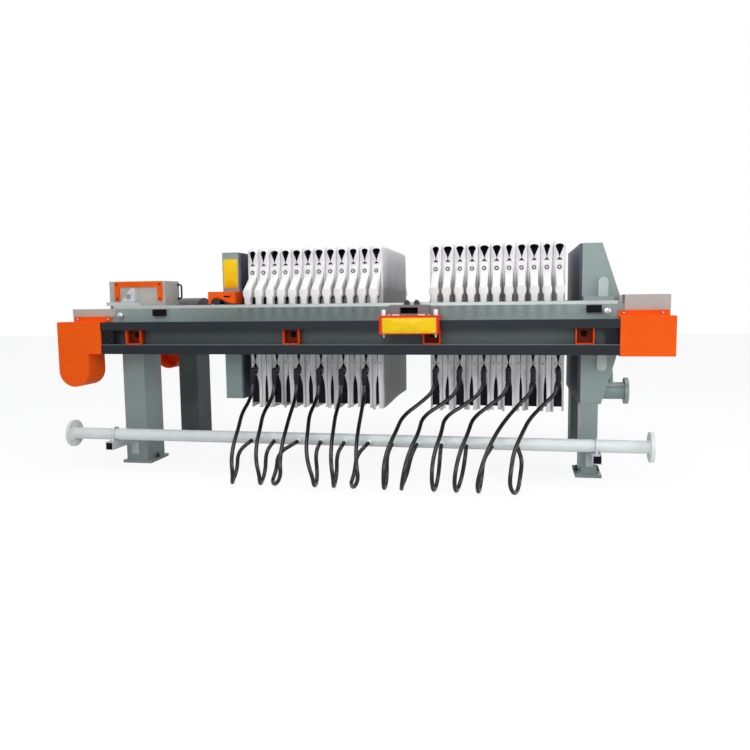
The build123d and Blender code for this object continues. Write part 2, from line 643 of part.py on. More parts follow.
FRAME_LEFT_X = SEAT_LEFT_X + 32.0
FRAME_RIGHT_X = SEAT_RIGHT_X - 12.0
FRAME_LOW_Z = SEAT_TOP_Z - 106.0
FRAME_HIGH_Z = SEAT_TOP_Z - 2.0
FRAME_BAR = 29.0
FRAME_THICK = 6.0
LIFT_X = LEFT_LEG_X + 21.5
LIFT_WIDE = 84.0
LIFT_TALL = 72.0
LIFT_THICK = 6.0
LIFT_HOLE_R = 15.0
LIFT_LOW_Z = STRIP_TOP_Z + BLOCK_TALL + 2.0
LIFT_REACH = 46.0


def seat_frame():
    """A flat frame round the window in the seat's side, open at the bottom."""
    face = -SEAT_OUTER_Y
    frame = block(FRAME_LEFT_X, FRAME_RIGHT_X, face - FRAME_THICK, face, FRAME_LOW_Z, FRAME_HIGH_Z)
    frame -= block(FRAME_LEFT_X + FRAME_BAR, FRAME_RIGHT_X - FRAME_BAR, face - FRAME_THICK, face, FRAME_LOW_Z,
                   FRAME_HIGH_Z - FRAME_BAR)
    return frame


def lifting_bracket():
    """A triangular ear with a round hole, and the flange it is bolted by."""
    left = LIFT_X - LIFT_WIDE / 2
    right = LIFT_X + LIFT_WIDE / 2
    face = -SEAT_OUTER_Y
    outline = [(left, LIFT_LOW_Z), (right, LIFT_LOW_Z), (right, LIFT_LOW_Z + LIFT_TALL),
               (right - 24, LIFT_LOW_Z + LIFT_TALL)]
    front = face - LIFT_REACH
    ear = prism_xz(outline, front, front + LIFT_THICK)
    ear += block(right - LIFT_THICK, right, front, face, LIFT_LOW_Z, LIFT_LOW_Z + LIFT_TALL)
    ear -= rod_y(right - 40, front - 1, front + LIFT_THICK + 1, LIFT_LOW_Z + 26, LIFT_HOLE_R)
    return ear


frame = seat_frame()
ear = lifting_bracket()
parts["cylinder_seat"] = [cylinder_seat()]
parts["seat_frame"] = [frame]
parts["lifting_bracket"] = [ear]


# Cylinder, rod and pressing head

def cylinder_barrel():
    barrel = rod_x(BARREL_LEFT_X, BARREL_RIGHT_X, 0, AXIS_Z, BARREL_R)
    web_right = LEFT_LEG_X + SEAT_WEB_THICK / 2
    barrel += rod_x(web_right, BARREL_RIGHT_X, 0, AXIS_Z, BARREL_R + CYLINDER_HEAD_WALL)
    gland_x = BARREL_RIGHT_X - GLAND_LENGTH
    barrel -= rod_x(BARREL_LEFT_X + BARREL_CAP, gland_x, 0, AXIS_Z, BARREL_R - BARREL_WALL)
    barrel -= rod_x(BARREL_RIGHT_X - GLAND_LENGTH - 1, BARREL_RIGHT_X + 1, 0, AXIS_Z, ROD_R + BORE_GAP)
    return barrel


def piston_rod():
    start = BARREL_LEFT_X + BARREL_CAP + SEAT_GAP
    rod = rod_x(start, HEAD_BACK_X, 0, AXIS_Z, ROD_R)
    rod += rod_x(start, start + PISTON_THICK, 0, AXIS_Z, BARREL_R - BARREL_WALL - BORE_GAP)
    return rod


def pressing_head():
    """A ribbed plate: a solid face with four pockets behind it and a boss for the rod."""
    front = PRESSING_FACE_X - LINING_THICK
    head = block(HEAD_BACK_X, front, -PLATE_HALF, PLATE_HALF, HEAD_BOTTOM_Z, HEAD_TOP_Z)
    mid_z = (HEAD_BOTTOM_Z + HEAD_TOP_Z) / 2
    for side in (-1, 1):
        for z0, z1 in ((HEAD_BOTTOM_Z + HEAD_RIM, mid_z - HEAD_RIM / 2),
                       (mid_z + HEAD_RIM / 2, HEAD_TOP_Z - HEAD_RIM)):
            outer_y = side * (PLATE_HALF - HEAD_RIM)
            head -= block(HEAD_BACK_X, front - HEAD_PLATE, side * HEAD_RIM / 2, outer_y, z0, z1)
    head += rod_x(HEAD_BACK_X, front, 0, AXIS_Z, ROD_R + HEAD_BOSS)
    return head


TRAY_LEFT_X = HEAD_BACK_X - 38.0
TRAY_RIGHT_X = PRESSING_FACE_X + 6.0
TRAY_TOP_Z = STRIP_TOP_Z + 67.0
TRAY_WALL = 5.0
TRAY_LOW_GAP = 6.0
ROLLER_R = 28.0
ROLLER_INSET = 38.0


def head_tray():
    """The open-bottomed housing over the rollers that carry the head on the wear strip."""
    outer = HANDLE_TIP_Y
    low = STRIP_TOP_Z + TRAY_LOW_GAP
    tray = block(TRAY_LEFT_X, TRAY_RIGHT_X, outer, -PLATE_HALF, low, TRAY_TOP_Z)
    tray -= block(TRAY_LEFT_X + TRAY_WALL, TRAY_RIGHT_X - TRAY_WALL, outer + TRAY_WALL, -PLATE_HALF, low,
                  TRAY_TOP_Z - TRAY_WALL)
    arch_low = low - 1
    arch = make_face(Polyline((TRAY_LEFT_X + 14, arch_low), (TRAY_RIGHT_X - 12, arch_low))
                     + Spline((TRAY_RIGHT_X - 12, arch_low), (TRAY_RIGHT_X - 60, low + 16),
                              (TRAY_LEFT_X + 30, low + 26), (TRAY_LEFT_X + 14, arch_low)))
    tray -= Pos(0, outer + TRAY_WALL, 0) * extrude(Plane.XZ * arch, TRAY_WALL)
    return tray


def head_roller(x):
    axis_z = STRIP_TOP_Z + SEAT_GAP + ROLLER_R
    return rod_y(x, -BEAM_MID_Y - STRIP_WIDE / 2 + 6, -PLATE_HALF, axis_z, ROLLER_R)


tray = head_tray()
rollers = [head_roller(TRAY_LEFT_X + ROLLER_INSET), head_roller(TRAY_RIGHT_X - ROLLER_INSET)]
head_lining = block(PRESSING_FACE_X - LINING_THICK, PRESSING_FACE_X, -PLATE_HALF + 4, PLATE_HALF - 4,
                    HEAD_BOTTOM_Z, HEAD_TOP_Z - 4)
parts["cylinder_barrel"] = [cylinder_barrel()]
parts["piston_rod"] = [piston_rod()]
parts["pressing_head"] = [pressing_head()]
parts["pressing_head_lining"] = [head_lining]
parts["head_trays"] = [tray, far(tray)]
parts["head_rollers"] = rollers + [far(roller) for roller in rollers]


# Legs: box-section columns on base plates

def leg(x, wide, foot_wide, top):
    mid_y = -LEG_OUTER_Y + LEG_DEPTH / 2
    column = block(x - wide / 2, x + wide / 2, -LEG_OUTER_Y, -LEG_OUTER_Y + LEG_DEPTH, FOOT_THICK, top)
    column -= block(x - wide / 2 + LEG_WALL, x + wide / 2 - LEG_WALL, -LEG_OUTER_Y + LEG_WALL,
                    -LEG_OUTER_Y + LEG_DEPTH - LEG_WALL, FOOT_THICK, top)
    column += block(x - foot_wide / 2, x + foot_wide / 2, mid_y - FOOT_DEPTH / 2, mid_y + FOOT_DEPTH / 2, 0,
                    FOOT_THICK)
    for side in (-1, 1):
        column -= rod_z(x + side * (foot_wide / 2 - ANCHOR_INSET), mid_y, -1, FOOT_THICK + 1, ANCHOR_R)
    return column


left_leg = leg(LEFT_LEG_X, LEFT_LEG_WIDE, LEFT_FOOT_WIDE, SEAT_BOTTOM_Z)
right_leg = leg(RIGHT_LEG_X, RIGHT_LEG_WIDE, RIGHT_FOOT_WIDE, HEAD_BOTTOM_Z)
parts["left_near_leg"] = [left_leg]
parts["left_far_leg"] = [far(left_leg)]
parts["right_near_leg"] = [right_leg]
parts["right_far_leg"] = [far(right_leg)]


# Shifting trolleys: a cover in front of the rail, a bridge over it, and the claws that catch the handles

def trolley():
    left = TROLLEY_X - TROLLEY_WIDE / 2
    right = TROLLEY_X + TROLLEY_WIDE / 2
    front = -RAIL_FRONT_Y - TROLLEY_FRONT
    back = -RAIL_FRONT_Y - TROLLEY_GAP
    low = RAIL_TOP_Z - TROLLEY_DROP
    cover = block(left, right, front, back, low, TROLLEY_TOP_Z)
    cover -= block(left + TROLLEY_WALL, right - TROLLEY_WALL, front + TROLLEY_WALL, back, low,
                   TROLLEY_TOP_Z - TROLLEY_WALL)
    bridge_low = RAIL_TOP_Z + SEAT_GAP
    cover += block(left, right, back, -BEAM_OUTER_Y - WORK_GAP, bridge_low, TROLLEY_TOP_Z)
    for x in (left + TROLLEY_PIN_INSET, right - TROLLEY_PIN_INSET):
        pin_top = TROLLEY_TOP_Z + TROLLEY_PIN_TALL
        cover += rod_z(x, front + TROLLEY_FRONT / 2, TROLLEY_TOP_Z - 1, pin_top, TROLLEY_PIN_R)
    return cover


def trolley_claws():
    mid = TROLLEY_X - 9
    left = mid - CARRIER_WIDE / 2
    inner = -BEAM_OUTER_Y - WORK_GAP
    outer = inner - CARRIER_DEPTH
    slot_left = left + CARRIER_SLOT_INSET
    carrier = block(left, left + CARRIER_WIDE, outer, inner, TROLLEY_TOP_Z, CARRIER_TOP_Z)
    slot_right = slot_left + CARRIER_SLOT_WIDE
    carrier -= block(slot_left, slot_right, outer, inner, TROLLEY_TOP_Z + 8, CARRIER_TOP_Z - 12)
    top = CARRIER_TOP_Z + CLAW_RISE
    for x in (mid - 19, mid - 19 + CLAW_SPACING):
        claw = [(x - 12, CARRIER_TOP_Z), (x + 16, CARRIER_TOP_Z), (x + 12, top - 6), (x, top),
                (x - 8, top - 8)]
        carrier += prism_xz(claw, inner - 20, HANDLE_TIP_Y - WORK_GAP - 1)
    return carrier


shuttle = trolley()
claws = trolley_claws()
parts["near_trolley"] = [shuttle]
parts["near_trolley_claws"] = [claws]
parts["far_trolley"] = [far(shuttle)]
parts["far_trolley_claws"] = [far(claws)]


# Manifold: a flanged pipe along the floor with one nipple for each hose

def bolt_circle(x0, x1, y, z, pcd, count, radius, turn):
    holes = []
    for n in range(count):
        angle = math.radians(turn + 360.0 * n / count)
        holes.append(rod_x(x0, x1, y + pcd / 2 * math.cos(angle), z + pcd / 2 * math.sin(angle), radius))
    return holes


def stub_places():
    return [STUB_FIRST_X + STUB_PITCH * n for n in range(12)]


def manifold_pipe():
    pipe = rod_x(PIPE_LEFT_X, PIPE_RIGHT_X, PIPE_Y, PIPE_Z, PIPE_R)
    for start in (PIPE_LEFT_X, PIPE_RIGHT_X - PIPE_FLANGE_THICK):
        end = start + PIPE_FLANGE_THICK
        pipe += rod_x(start, end, PIPE_Y, PIPE_Z, PIPE_FLANGE_R)
        for hole in bolt_circle(start - 1, end + 1, PIPE_Y, PIPE_Z, PIPE_BOLT_PCD, 4, PIPE_BOLT_R, 45):
            pipe -= hole
    for x in stub_places():
        pipe += rod_y(x, PIPE_Y - STUB_LENGTH, PIPE_Y, PIPE_Z, STUB_R)
    pipe -= rod_x(PIPE_LEFT_X - 1, PIPE_RIGHT_X + 1, PIPE_Y, PIPE_Z, PIPE_R - PIPE_WALL)
    return pipe


def pipe_support(x):
    """A slotted channel standing out from the leg, with a U bolt over the pipe."""
    top = PIPE_Z - PIPE_R - SEAT_GAP
    left = x - STRUT_SIDE / 2
    front = PIPE_Y - STRUT_REACH
    strut = block(left, left + STRUT_SIDE, front, -LEG_OUTER_Y, top - STRUT_SIDE, top)
    strut -= block(left + STRUT_WALL, left + STRUT_SIDE - STRUT_WALL, front, -LEG_OUTER_Y - STRUT_WALL,
                   top - STRUT_SIDE, top - STRUT_WALL)
    reach = PIPE_R + SEAT_GAP + UBOLT_R
    arch = Pos(x, PIPE_Y, PIPE_Z) * Rot(0, 90, 0) * Torus(reach, UBOLT_R)
    arch -= block(x - 20, x + 20, PIPE_Y - 60, PIPE_Y + 60, PIPE_Z - 60, PIPE_Z)
    strut += arch
    for y in (PIPE_Y - reach, PIPE_Y + reach):
        strut += rod_z(x, y, top - 16, PIPE_Z, UBOLT_R)
    return strut


parts["manifold_pipe"] = [manifold_pipe()]
left_strut_x = LEFT_LEG_X - LEFT_LEG_WIDE / 2 + 42
right_strut_x = RIGHT_LEG_X + RIGHT_LEG_WIDE / 2 - 25
parts["manifold_supports"] = [pipe_support(left_strut_x), pipe_support(right_strut_x)]


# Pipes behind the fixed head

def head_pipe(y, z, radius, end, flange_r):
    start = FIXED_FACE_X + LINING_THICK
    pipe = rod_x(start, end, y, z, radius) + rod_x(end - BIG_FLANGE_THICK, end, y, z, flange_r)
    return pipe - rod_x(start - 1, end + 1, y, z, radius - PIPE_BORE_WALL)


feed_end = FIXED_FACE_X + FEED_LENGTH
feed = head_pipe(0, AXIS_Z, FEED_R, feed_end, FEED_FLANGE_R)
feed_back = feed_end - BIG_FLANGE_THICK
for hole in bolt_circle(feed_back - 1, feed_end + 1, 0, AXIS_Z, FEED_BOLT_PCD, 8, FEED_BOLT_R, 22.5):
    feed -= hole
outlet = head_pipe(-OUTLET_Y, OUTLET_Z, OUTLET_R, FIXED_FACE_X + OUTLET_LENGTH, OUTLET_FLANGE_R)
parts["feed_pipe"] = [feed]
parts["outlet_pipes"] = [outlet, far(outlet)]


# Hoses: each runs from a membrane plate's fitting out and down to the floor, and back up to its nipple.
# A route's points are (share of the way in X, Y, Z).

HOSE_TOP_Y = -PLATE_HALF - FITTING_REACH
HOSE_TOP_Z = PORT_Z - FITTING_DROP
STUB_END_Y = PIPE_Y - STUB_LENGTH
HOSE_POINTS = (
    (0.00, HOSE_TOP_Y, HOSE_TOP_Z),
    (0.00, HOSE_TOP_Y, 428.0),
    (0.06, -497.0, 368.0),
    (0.22, -588.0, 312.0),
    (0.44, -700.0, 258.0),
    (0.68, -808.0, 198.0),
    (0.86, -872.0, 135.0),
    (0.93, -881.0, 66.0),
    (0.97, -843.0, 15.0),
    (1.00, -776.0, 14.0),
    (1.00, -738.0, 60.0),
    (1.00, -740.0, 146.0),
    (1.00, -700.0, PIPE_Z),
    (1.00, STUB_END_Y, PIPE_Z),
)
# How far each hose swings aside along X at its third, fifth, seventh, ninth and eleventh point
HOSE_SHIFTS = ((-56, 4, -17, -63, -49), (-62, -13, -3, -33, -23), (-38, 7, -16, -101, -79),
              (-57, -11, 19, 4, -9), (-42, 5, -1, -24, -22), (-26, -3, 0, -66, -43),
              (-132, -76, -20, -15, -15), (-153, -69, -51, -57, -19), (-165, -88, -36, -16, 0),
              (-148, -94, -54, -31, -2), (-108, -101, -70, -51, -36), (-121, -104, -48, 2, 21))


def hose_route(x_port, x_stub, shifts):
    swing = [0.0] * len(HOSE_POINTS)
    before = 0.0
    for n, shift in enumerate(shifts, start=1):
        swing[2 * n] = (before + shift) / 2
        swing[2 * n + 1] = shift
        before = shift
    return [(x_port + (x_stub - x_port) * along + aside, y, z)
            for (along, y, z), aside in zip(HOSE_POINTS, swing)]


def tube(points, radius):
    """A round tube along straight runs joined by tangent arcs."""
    radii = []
    for a, b, c in zip(points, points[1:], points[2:]):
        before = Vector(*b) - Vector(*a)
        after = Vector(*c) - Vector(*b)
        half_turn = math.radians(before.get_angle(after)) / 2
        radii.append(0.45 * min(before.length, after.length) / math.tan(half_turn))
    path = FilletPolyline(*points, radius=radii)
    start = Plane(origin=points[0], z_dir=Vector(*points[1]) - Vector(*points[0]))
    return sweep(start * Circle(radius), path=path), radii, path.length


ports = plate_places(LEFT_PACK_X, LEFT_COUNT)[::2] + plate_places(RIGHT_PACK_X, RIGHT_COUNT)[::2]
for number, (x_port, x_stub, shifts) in enumerate(zip(ports, stub_places(), HOSE_SHIFTS), start=1):
    route = hose_route(x_port, x_stub, shifts)
    hose, radii, length = tube(route, HOSE_R)
    parts[f"hose_{number:02d}"] = [hose]
    print(f"hose_{number:02d} length {length:.0f} radii {[round(r) for r in radii]}",
          f"volume ratio {hose.volume / (math.pi * HOSE_R ** 2 * length):.4f}")

for name, solids in parts.items():
    shape = solids[0] if len(solids) == 1 else Compound(children=list(solids))
    export_step(shape, f"parts/{name}.step")
print("stroke", STROKE, "nodes", len(parts))
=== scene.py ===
import json
import math

import bmesh
import bpy
import numpy as np
from mathutils import Matrix


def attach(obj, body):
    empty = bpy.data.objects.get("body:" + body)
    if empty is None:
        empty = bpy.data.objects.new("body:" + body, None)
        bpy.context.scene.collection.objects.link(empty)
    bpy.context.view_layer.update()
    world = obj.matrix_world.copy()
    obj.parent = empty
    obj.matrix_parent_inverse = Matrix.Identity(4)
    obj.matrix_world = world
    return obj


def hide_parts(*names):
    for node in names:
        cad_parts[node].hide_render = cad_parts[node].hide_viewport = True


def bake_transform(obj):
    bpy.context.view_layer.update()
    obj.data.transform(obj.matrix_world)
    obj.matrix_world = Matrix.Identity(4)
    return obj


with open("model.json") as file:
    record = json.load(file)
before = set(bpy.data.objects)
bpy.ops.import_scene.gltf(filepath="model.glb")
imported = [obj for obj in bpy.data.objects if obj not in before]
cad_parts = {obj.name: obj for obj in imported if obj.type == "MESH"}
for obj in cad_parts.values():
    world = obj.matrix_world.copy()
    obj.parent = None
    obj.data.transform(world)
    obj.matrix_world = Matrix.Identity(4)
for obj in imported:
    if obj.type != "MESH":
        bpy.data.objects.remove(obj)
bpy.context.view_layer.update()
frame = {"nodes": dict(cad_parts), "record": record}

# Sizes shared with the solids, in metres
PITCH = 0.0595
LEFT_START, RIGHT_START = -0.53225, 0.42175
LEFT_PLACES = LEFT_START + PITCH * np.arange(12)
RIGHT_PLACES = RIGHT_START + PITCH * np.arange(11)
PACKS = {"left_pack": LEFT_PLACES, "right_pack": RIGHT_PLACES}
PLATE_LOW = 0.338
BOLT_Z = 1.023
TIE_Z = 0.556
HOSE_R = 0.0095
LABEL_X, LABEL_Z = 0.322, 0.7545
TROLLEY_PINS = (0.196, 0.444)
TROLLEY_TOP_Z = 0.8002
STRUTS = (-1.243, 1.180)
LEFT_LEG_X, RIGHT_LEG_X = -1.2235, 1.1665
LEG_Y = 0.333

# Where a fastener's seat lies on the near side
GUARD_FACE_Y = -0.5293
RAIL_FACE_Y = -0.5945
RAIL_WEB_Y = -0.5370
SEAT_FRAME_Y = -0.4507
LEG_PLATE_Y = -0.4335
TRAY_FACE_Y = -0.5100


# ---------------------------------------------------------------- finishes

def linear(red, green, blue):
    """A colour given as 0 to 255 sRGB, as the linear colour a shader takes."""
    c = np.array([red, green, blue]) / 255
    c = np.where(c <= 0.04045, c / 12.92, ((c + 0.055) / 1.055) ** 2.4)
    return (*map(float, c), 1.0)


def shaded(colour, share):
    """A colour made darker or lighter by a share."""
    return tuple(min(1.0, share * c) for c in colour[:3]) + (1.0,)


class Number:
    """A number inside a finish.  Arithmetic on it adds Math nodes."""

    def __init__(self, finish, socket):
        self.finish = finish
        self.socket = socket

    def _maths(self, operation, a, b=0.0):
        return self.finish.add("ShaderNodeMath", {"operation": operation}, {"Value": a, "Value_001": b})

    def __add__(self, other):
        return self._maths("ADD", self, other)

    def __sub__(self, other):
        return self._maths("SUBTRACT", self, other)

    def __rsub__(self, other):
        return self._maths("SUBTRACT", other, self)

    def __mul__(self, other):
        return self._maths("MULTIPLY", self, other)

    def sine(self):
        return self._maths("SINE", self)

    def size(self):
        """The number without its sign."""
        return self._maths("ABSOLUTE", self)

    def most(self, other):
        return self._maths("MAXIMUM", self, other)

    def step(self, low, high):
        """0 below low, 1 above high, and a smooth rise between."""
        return self.finish.add("ShaderNodeMapRange", {"interpolation_type": "SMOOTHSTEP"},
                               {"Value": self, "From Min": low, "From Max": high})


class Nodes:
    """A node tree whose nodes are added one by one."""

    def __init__(self, tree):
        self.tree = tree
        self.tree.nodes.clear()

    def add(self, kind, settings, inputs, output=0):
        """Adds a node: its settings first, then the values or links of its sockets."""
        node = self.tree.nodes.new(kind)
        for key, value in settings.items():
            setattr(node, key, value)
        for key, value in inputs.items():
            socket = next(s for s in node.inputs if key in (s.identifier, s.name))
            if isinstance(value, Number):
                self.tree.links.new(value.socket, socket)
            else:
                socket.default_value = value
        sockets = [s for s in node.outputs if output in (s.identifier, s.name)]
        return Number(self, sockets[0] if sockets else node.outputs[output])

    def end(self, kind, shader):
        """Links a shader to the tree's output node."""
        output = self.tree.nodes.new(kind)
        self.tree.links.new(shader.socket, output.inputs["Surface"])


class Finish(Nodes):
    """A material, with the nodes that most finishes use."""

    def __init__(self, name):
        self.material = bpy.data.materials.new(name)
        self.material.use_nodes = True
        super().__init__(self.material.node_tree)

    def place(self):
        return self.add("ShaderNodeTexCoord", {}, {}, "Object")

    def stretched(self, vector, scale):
        return self.add("ShaderNodeMapping", {}, {"Vector": vector, "Scale": scale})

    def noise(self, vector, scale, detail=2.0, roughness=0.5):
        return self.add("ShaderNodeTexNoise", {},
                        {"Vector": vector, "Scale": scale, "Detail": detail, "Roughness": roughness})

    def axes(self, vector):
        node = self.add("ShaderNodeSeparateXYZ", {}, {"Vector": vector}, 0).socket.node
        return [Number(self, socket) for socket in node.outputs]

    def blend(self, amount, first, second):
        """first where amount is 0, second where it is 1."""
        return self.add("ShaderNodeMix", {"data_type": "RGBA"},
                        {"Factor_Float": amount, "A_Color": first, "B_Color": second}, "Result_Color")

    def bump(self, height, distance, strength=1.0):
        return self.add("ShaderNodeBump", {},
                        {"Height": height, "Distance": distance, "Strength": strength})

    def upward(self):
        """How far a face looks up: 1 on a level top."""
        return self.axes(self.add("ShaderNodeNewGeometry", {}, {}, "Normal"))[2]

    def done(self, colour, roughness, normal, **more):
        """The finished material.  More sockets are given by name, with _ for a space."""
        inputs = {"Base Color": colour, "Roughness": roughness, "Normal": normal}
        inputs.update({key.replace("_", " "): value for key, value in more.items()})
        self.end("ShaderNodeOutputMaterial", self.add("ShaderNodeBsdfPrincipled", {}, inputs))
        return self.material


def enamel(name, colour, rough, coat, worn=None, dusty=0.10, low_grime=0.0, shine=0.5, marks=None):
    """Machine enamel: slight unevenness, orange peel, dust on level faces and a few small chips.
    marks(finish, place, tone) returns the tone with the piece's own marks, painted light and painted shade."""
    f = Finish(name)
    at = f.place()
    broad = f.noise(at, 1.7, 3.0)
    fine = f.noise(at, 24.0, 5.0, 0.62)
    peel = f.noise(at, 620.0, 2.0, 0.4)
    tone = f.blend((broad * 0.7 + fine * 0.3).step(0.30, 0.70), shaded(colour, 0.88), shaded(colour, 1.07))
    dust = f.upward().step(0.6, 1.0) * fine.step(0.25, 0.8) * dusty
    tone = f.blend(dust, tone, linear(196, 194, 186))
    if low_grime:
        height = f.axes(at)[2]
        grime_and_shade = (1.0 - height.step(0.0, 0.30)) * fine.step(0.35, 0.75) * low_grime
        tone = f.blend(grime_and_shade, tone, linear(92, 88, 80))
    if worn:
        chips = f.noise(at, 150.0, 4.0, 0.7).step(0.735, 0.76)
        tone = f.blend(chips, tone, worn)
    if marks:
        tone = marks(f, at, tone)
    return f.done(tone, fine * 0.14 + dust * 0.8 + (rough - 0.05), f.bump(peel, 0.00012, 0.55),
                  Coat_Weight=coat, Coat_Roughness=0.12, Specular_IOR_Level=shine)


def beam_painted_light(f, at, tone):
    """Painted reflections of the plates: soft dark bands a plate's pitch apart, in the two packs' spans, fading
    down the beam, and a broad painted shadow under the left pack."""
    x, _, z = f.axes(at)
    wander = f.noise(at, 7.0, 3.0)
    # Painted reflection: a dark band between each two plates
    band = ((x - LEFT_START + wander * 0.010) * (2 * math.pi / PITCH) + math.pi / 2).sine() * -0.5 + 0.5
    left_span = x.step(-0.60, -0.55) * (1.0 - x.step(0.13, 0.17))
    spans = left_span + x.step(0.39, 0.42) * (1.0 - x.step(1.03, 1.06)) * 0.7
    painted_reflection = band * spans * z.step(0.765, 0.835) * 0.55
    # Painted shadow under the left pack
    shade = (1.0 - x.step(-0.25, 0.9)) * x.step(-1.05, -0.55) * 0.44
    tone = f.blend(shade, tone, linear(66, 72, 74))
    return f.blend(painted_reflection, tone, linear(70, 80, 80))


def rail_web_and_painted_light(f, at, tone):
    """A rail's lips are dark and its recessed web is paler, darkened towards the left by painted shade; a
    painted highlight runs along the slot's lower edge.
    """
    x, y, z = f.axes(at)
    web = 1.0 - y.size().step(0.552, 0.566)
    # Painted shade: the web darker towards the left end
    tone = f.blend(web * (x.step(-1.20, 1.0) * 0.45 + 0.55), tone, linear(96, 106, 107))
    # Painted highlight along the slot's lower edge
    painted_highlight = (1.0 - (z - 0.6602).size().step(0.0006, 0.0018)) * y.size().step(0.590, 0.594)
    return f.blend(painted_highlight * 0.7, tone, linear(150, 160, 166))


def bracket_pocket_shade(f, at, tone):
    """Painted shade in the bottom of a bracket's pocket."""
    # Painted shade, darkest at the back of the pocket
    painted_shade = 1.0 - f.axes(at)[1].size().step(0.538, 0.576)
    return f.blend(painted_shade * 0.86, tone, linear(72, 22, 8))


def block_marks(f, at, tone):
    """The blocks under the cylinder's seat are left in pale primer."""
    return f.blend((1.0 - f.axes(at)[0].step(-1.0, -0.9)) * 0.85, tone, linear(208, 212, 210))


def claw_marks(f, at, tone):
    """The claws above the carrier are oily and nearly black."""
    return f.blend(f.axes(at)[2].step(0.8500, 0.8506), tone, linear(26, 26, 28))


def label_marks(f, at, tone):
    """The far trolley's yellow plate is painted on, flush with its cover."""
    x, y, z = f.axes(at)
    wide = 1.0 - (x - LABEL_X).size().step(0.1275, 0.1285)
    tall = 1.0 - (z - LABEL_Z).size().step(0.0355, 0.0365)
    return f.blend(wide * tall * y.step(0.6640, 0.6645), tone, linear(250, 206, 6))


def far_leg_painted_shade(f, at, tone):
    """Painted shade over the far legs, in uneven patches."""
    # Painted shade darkening the far legs
    grime_and_shade = f.noise(at, 3.0, 4.0, 0.6).step(0.2, 0.7) * 0.25 + 0.55
    return f.blend(grime_and_shade, tone, linear(34, 38, 37))


def steel(name, colour, rough, grain=(1.0, 60.0, 60.0), scratch=0.5):
    """Ground or rolled steel: fine lines along the grain and soft smudges."""
    f = Finish(name)
    at = f.place()
    lines = f.noise(f.stretched(at, grain), 22.0, 4.0, 0.75)
    smudge = f.noise(at, 9.0, 4.0)
    tone = f.blend(lines * 0.5 + smudge * 0.5, shaded(colour, 0.66), colour)
    return f.done(tone, smudge * 0.22 + lines * 0.10 + (rough - 0.12), f.bump(lines, 0.0001, scratch),
                  Metallic=1.0)


def zinc(name):
    """Galvanised steel: flakes of slightly different grey and dull white patches."""
    f = Finish(name)
    at = f.place()
    flakes = f.add("ShaderNodeTexVoronoi", {}, {"Vector": at, "Scale": 160.0}, "Color")
    flake = f.add("ShaderNodeSeparateColor", {}, {"Color": flakes}, 0)
    patch = f.noise(at, 18.0, 4.0, 0.6)
    tone = f.blend(flake * 0.6 + patch * 0.4, linear(176, 182, 185), linear(226, 230, 233))
    return f.done(tone, flake * 0.16 + patch * 0.2 + 0.24, f.bump(patch, 0.0002, 0.4), Metallic=0.60)


def plastic(name, low, high, rough, shine=0.5):
    """Moulded polypropylene: matt grain, faint flow marks and small scuffs."""
    f = Finish(name)
    at = f.place()
    flow = f.noise(at, 6.0, 4.0, 0.6)
    fine = f.noise(at, 340.0, 3.0)
    tone = f.blend(flow.step(0.3, 0.7), low, high)
    return f.done(tone, flow * 0.16 + fine * 0.08 + (rough - 0.12), f.bump(fine, 0.00015, 0.5),
                  Specular_IOR_Level=shine)


def woven(name):
    """Filter cloth: crossed yarns on the cloth's own UV, in metres, with slack creases and the wear of use.
    Grey cake stains run down the lower flaps; painted shade darkens a band above the beam and the left pack's
    free end, there darker downwards and below a fold."""
    f = Finish(name)
    uv = f.add("ShaderNodeUVMap", {"uv_map": "weave"}, {})
    at = f.place()
    x, y, z = f.axes(at)
    across, along, _ = f.axes(uv)
    warp = (across * (2 * math.pi / 0.0016)).sine()
    weft = (along * (2 * math.pi / 0.0013)).sine()
    yarn = warp * weft * 0.5 + 0.5
    stain = f.noise(uv, 5.0, 5.0, 0.6)
    runs = f.noise(f.stretched(at, (26.0, 26.0, 2.2)), 1.0, 4.0, 0.6)
    crease = f.noise(f.stretched(uv, (9.0, 1.6, 1.0)), 2.6, 3.0, 0.5)
    tone = f.blend(stain.step(0.36, 0.72), linear(246, 244, 245), linear(228, 226, 228))
    # Painted shade in a band above the beam
    painted_shade_band = z.step(0.845, 0.87) * (1.0 - z.step(0.90, 1.00))
    tone = f.blend(painted_shade_band * (runs * 0.5 + 0.25), tone, linear(112, 106, 102))
    low = (1.0 - z.step(0.40, 0.62)) * 0.25 + 0.30
    tone = f.blend((1.0 - z.step(0.60, 0.66)) * runs.step(0.38, 0.66) * low, tone, linear(104, 104, 108))
    # Painted shade on the left pack's free end, darker downwards and below a fold
    end_face_painted_shade = x.step(0.1500, 0.1515) * (1.0 - x.step(0.30, 0.32)) * (1.0 - y.size().step(0.375, 0.396))
    fold = z + (y * 9.0).sine() * 0.006 - 0.935
    below_fold = 1.0 - fold.step(-0.004, 0.004)
    end_face_painted_shade = end_face_painted_shade * ((1.0 - z.step(0.93, 1.13)) * 0.42 + below_fold * 0.22 + runs * 0.10 + 0.05)
    tone = f.blend(end_face_painted_shade, tone, linear(74, 73, 72))
    tone = f.blend(yarn * 0.16, tone, linear(188, 186, 190))
    relief = f.bump(crease, 0.010, 0.55)
    weave = f.add("ShaderNodeBump", {},
                  {"Height": yarn, "Distance": 0.0002, "Strength": 0.4, "Normal": relief})
    return f.done(tone, stain * 0.1 + 0.58, weave, Sheen_Weight=0.12, Sheen_Roughness=0.5)


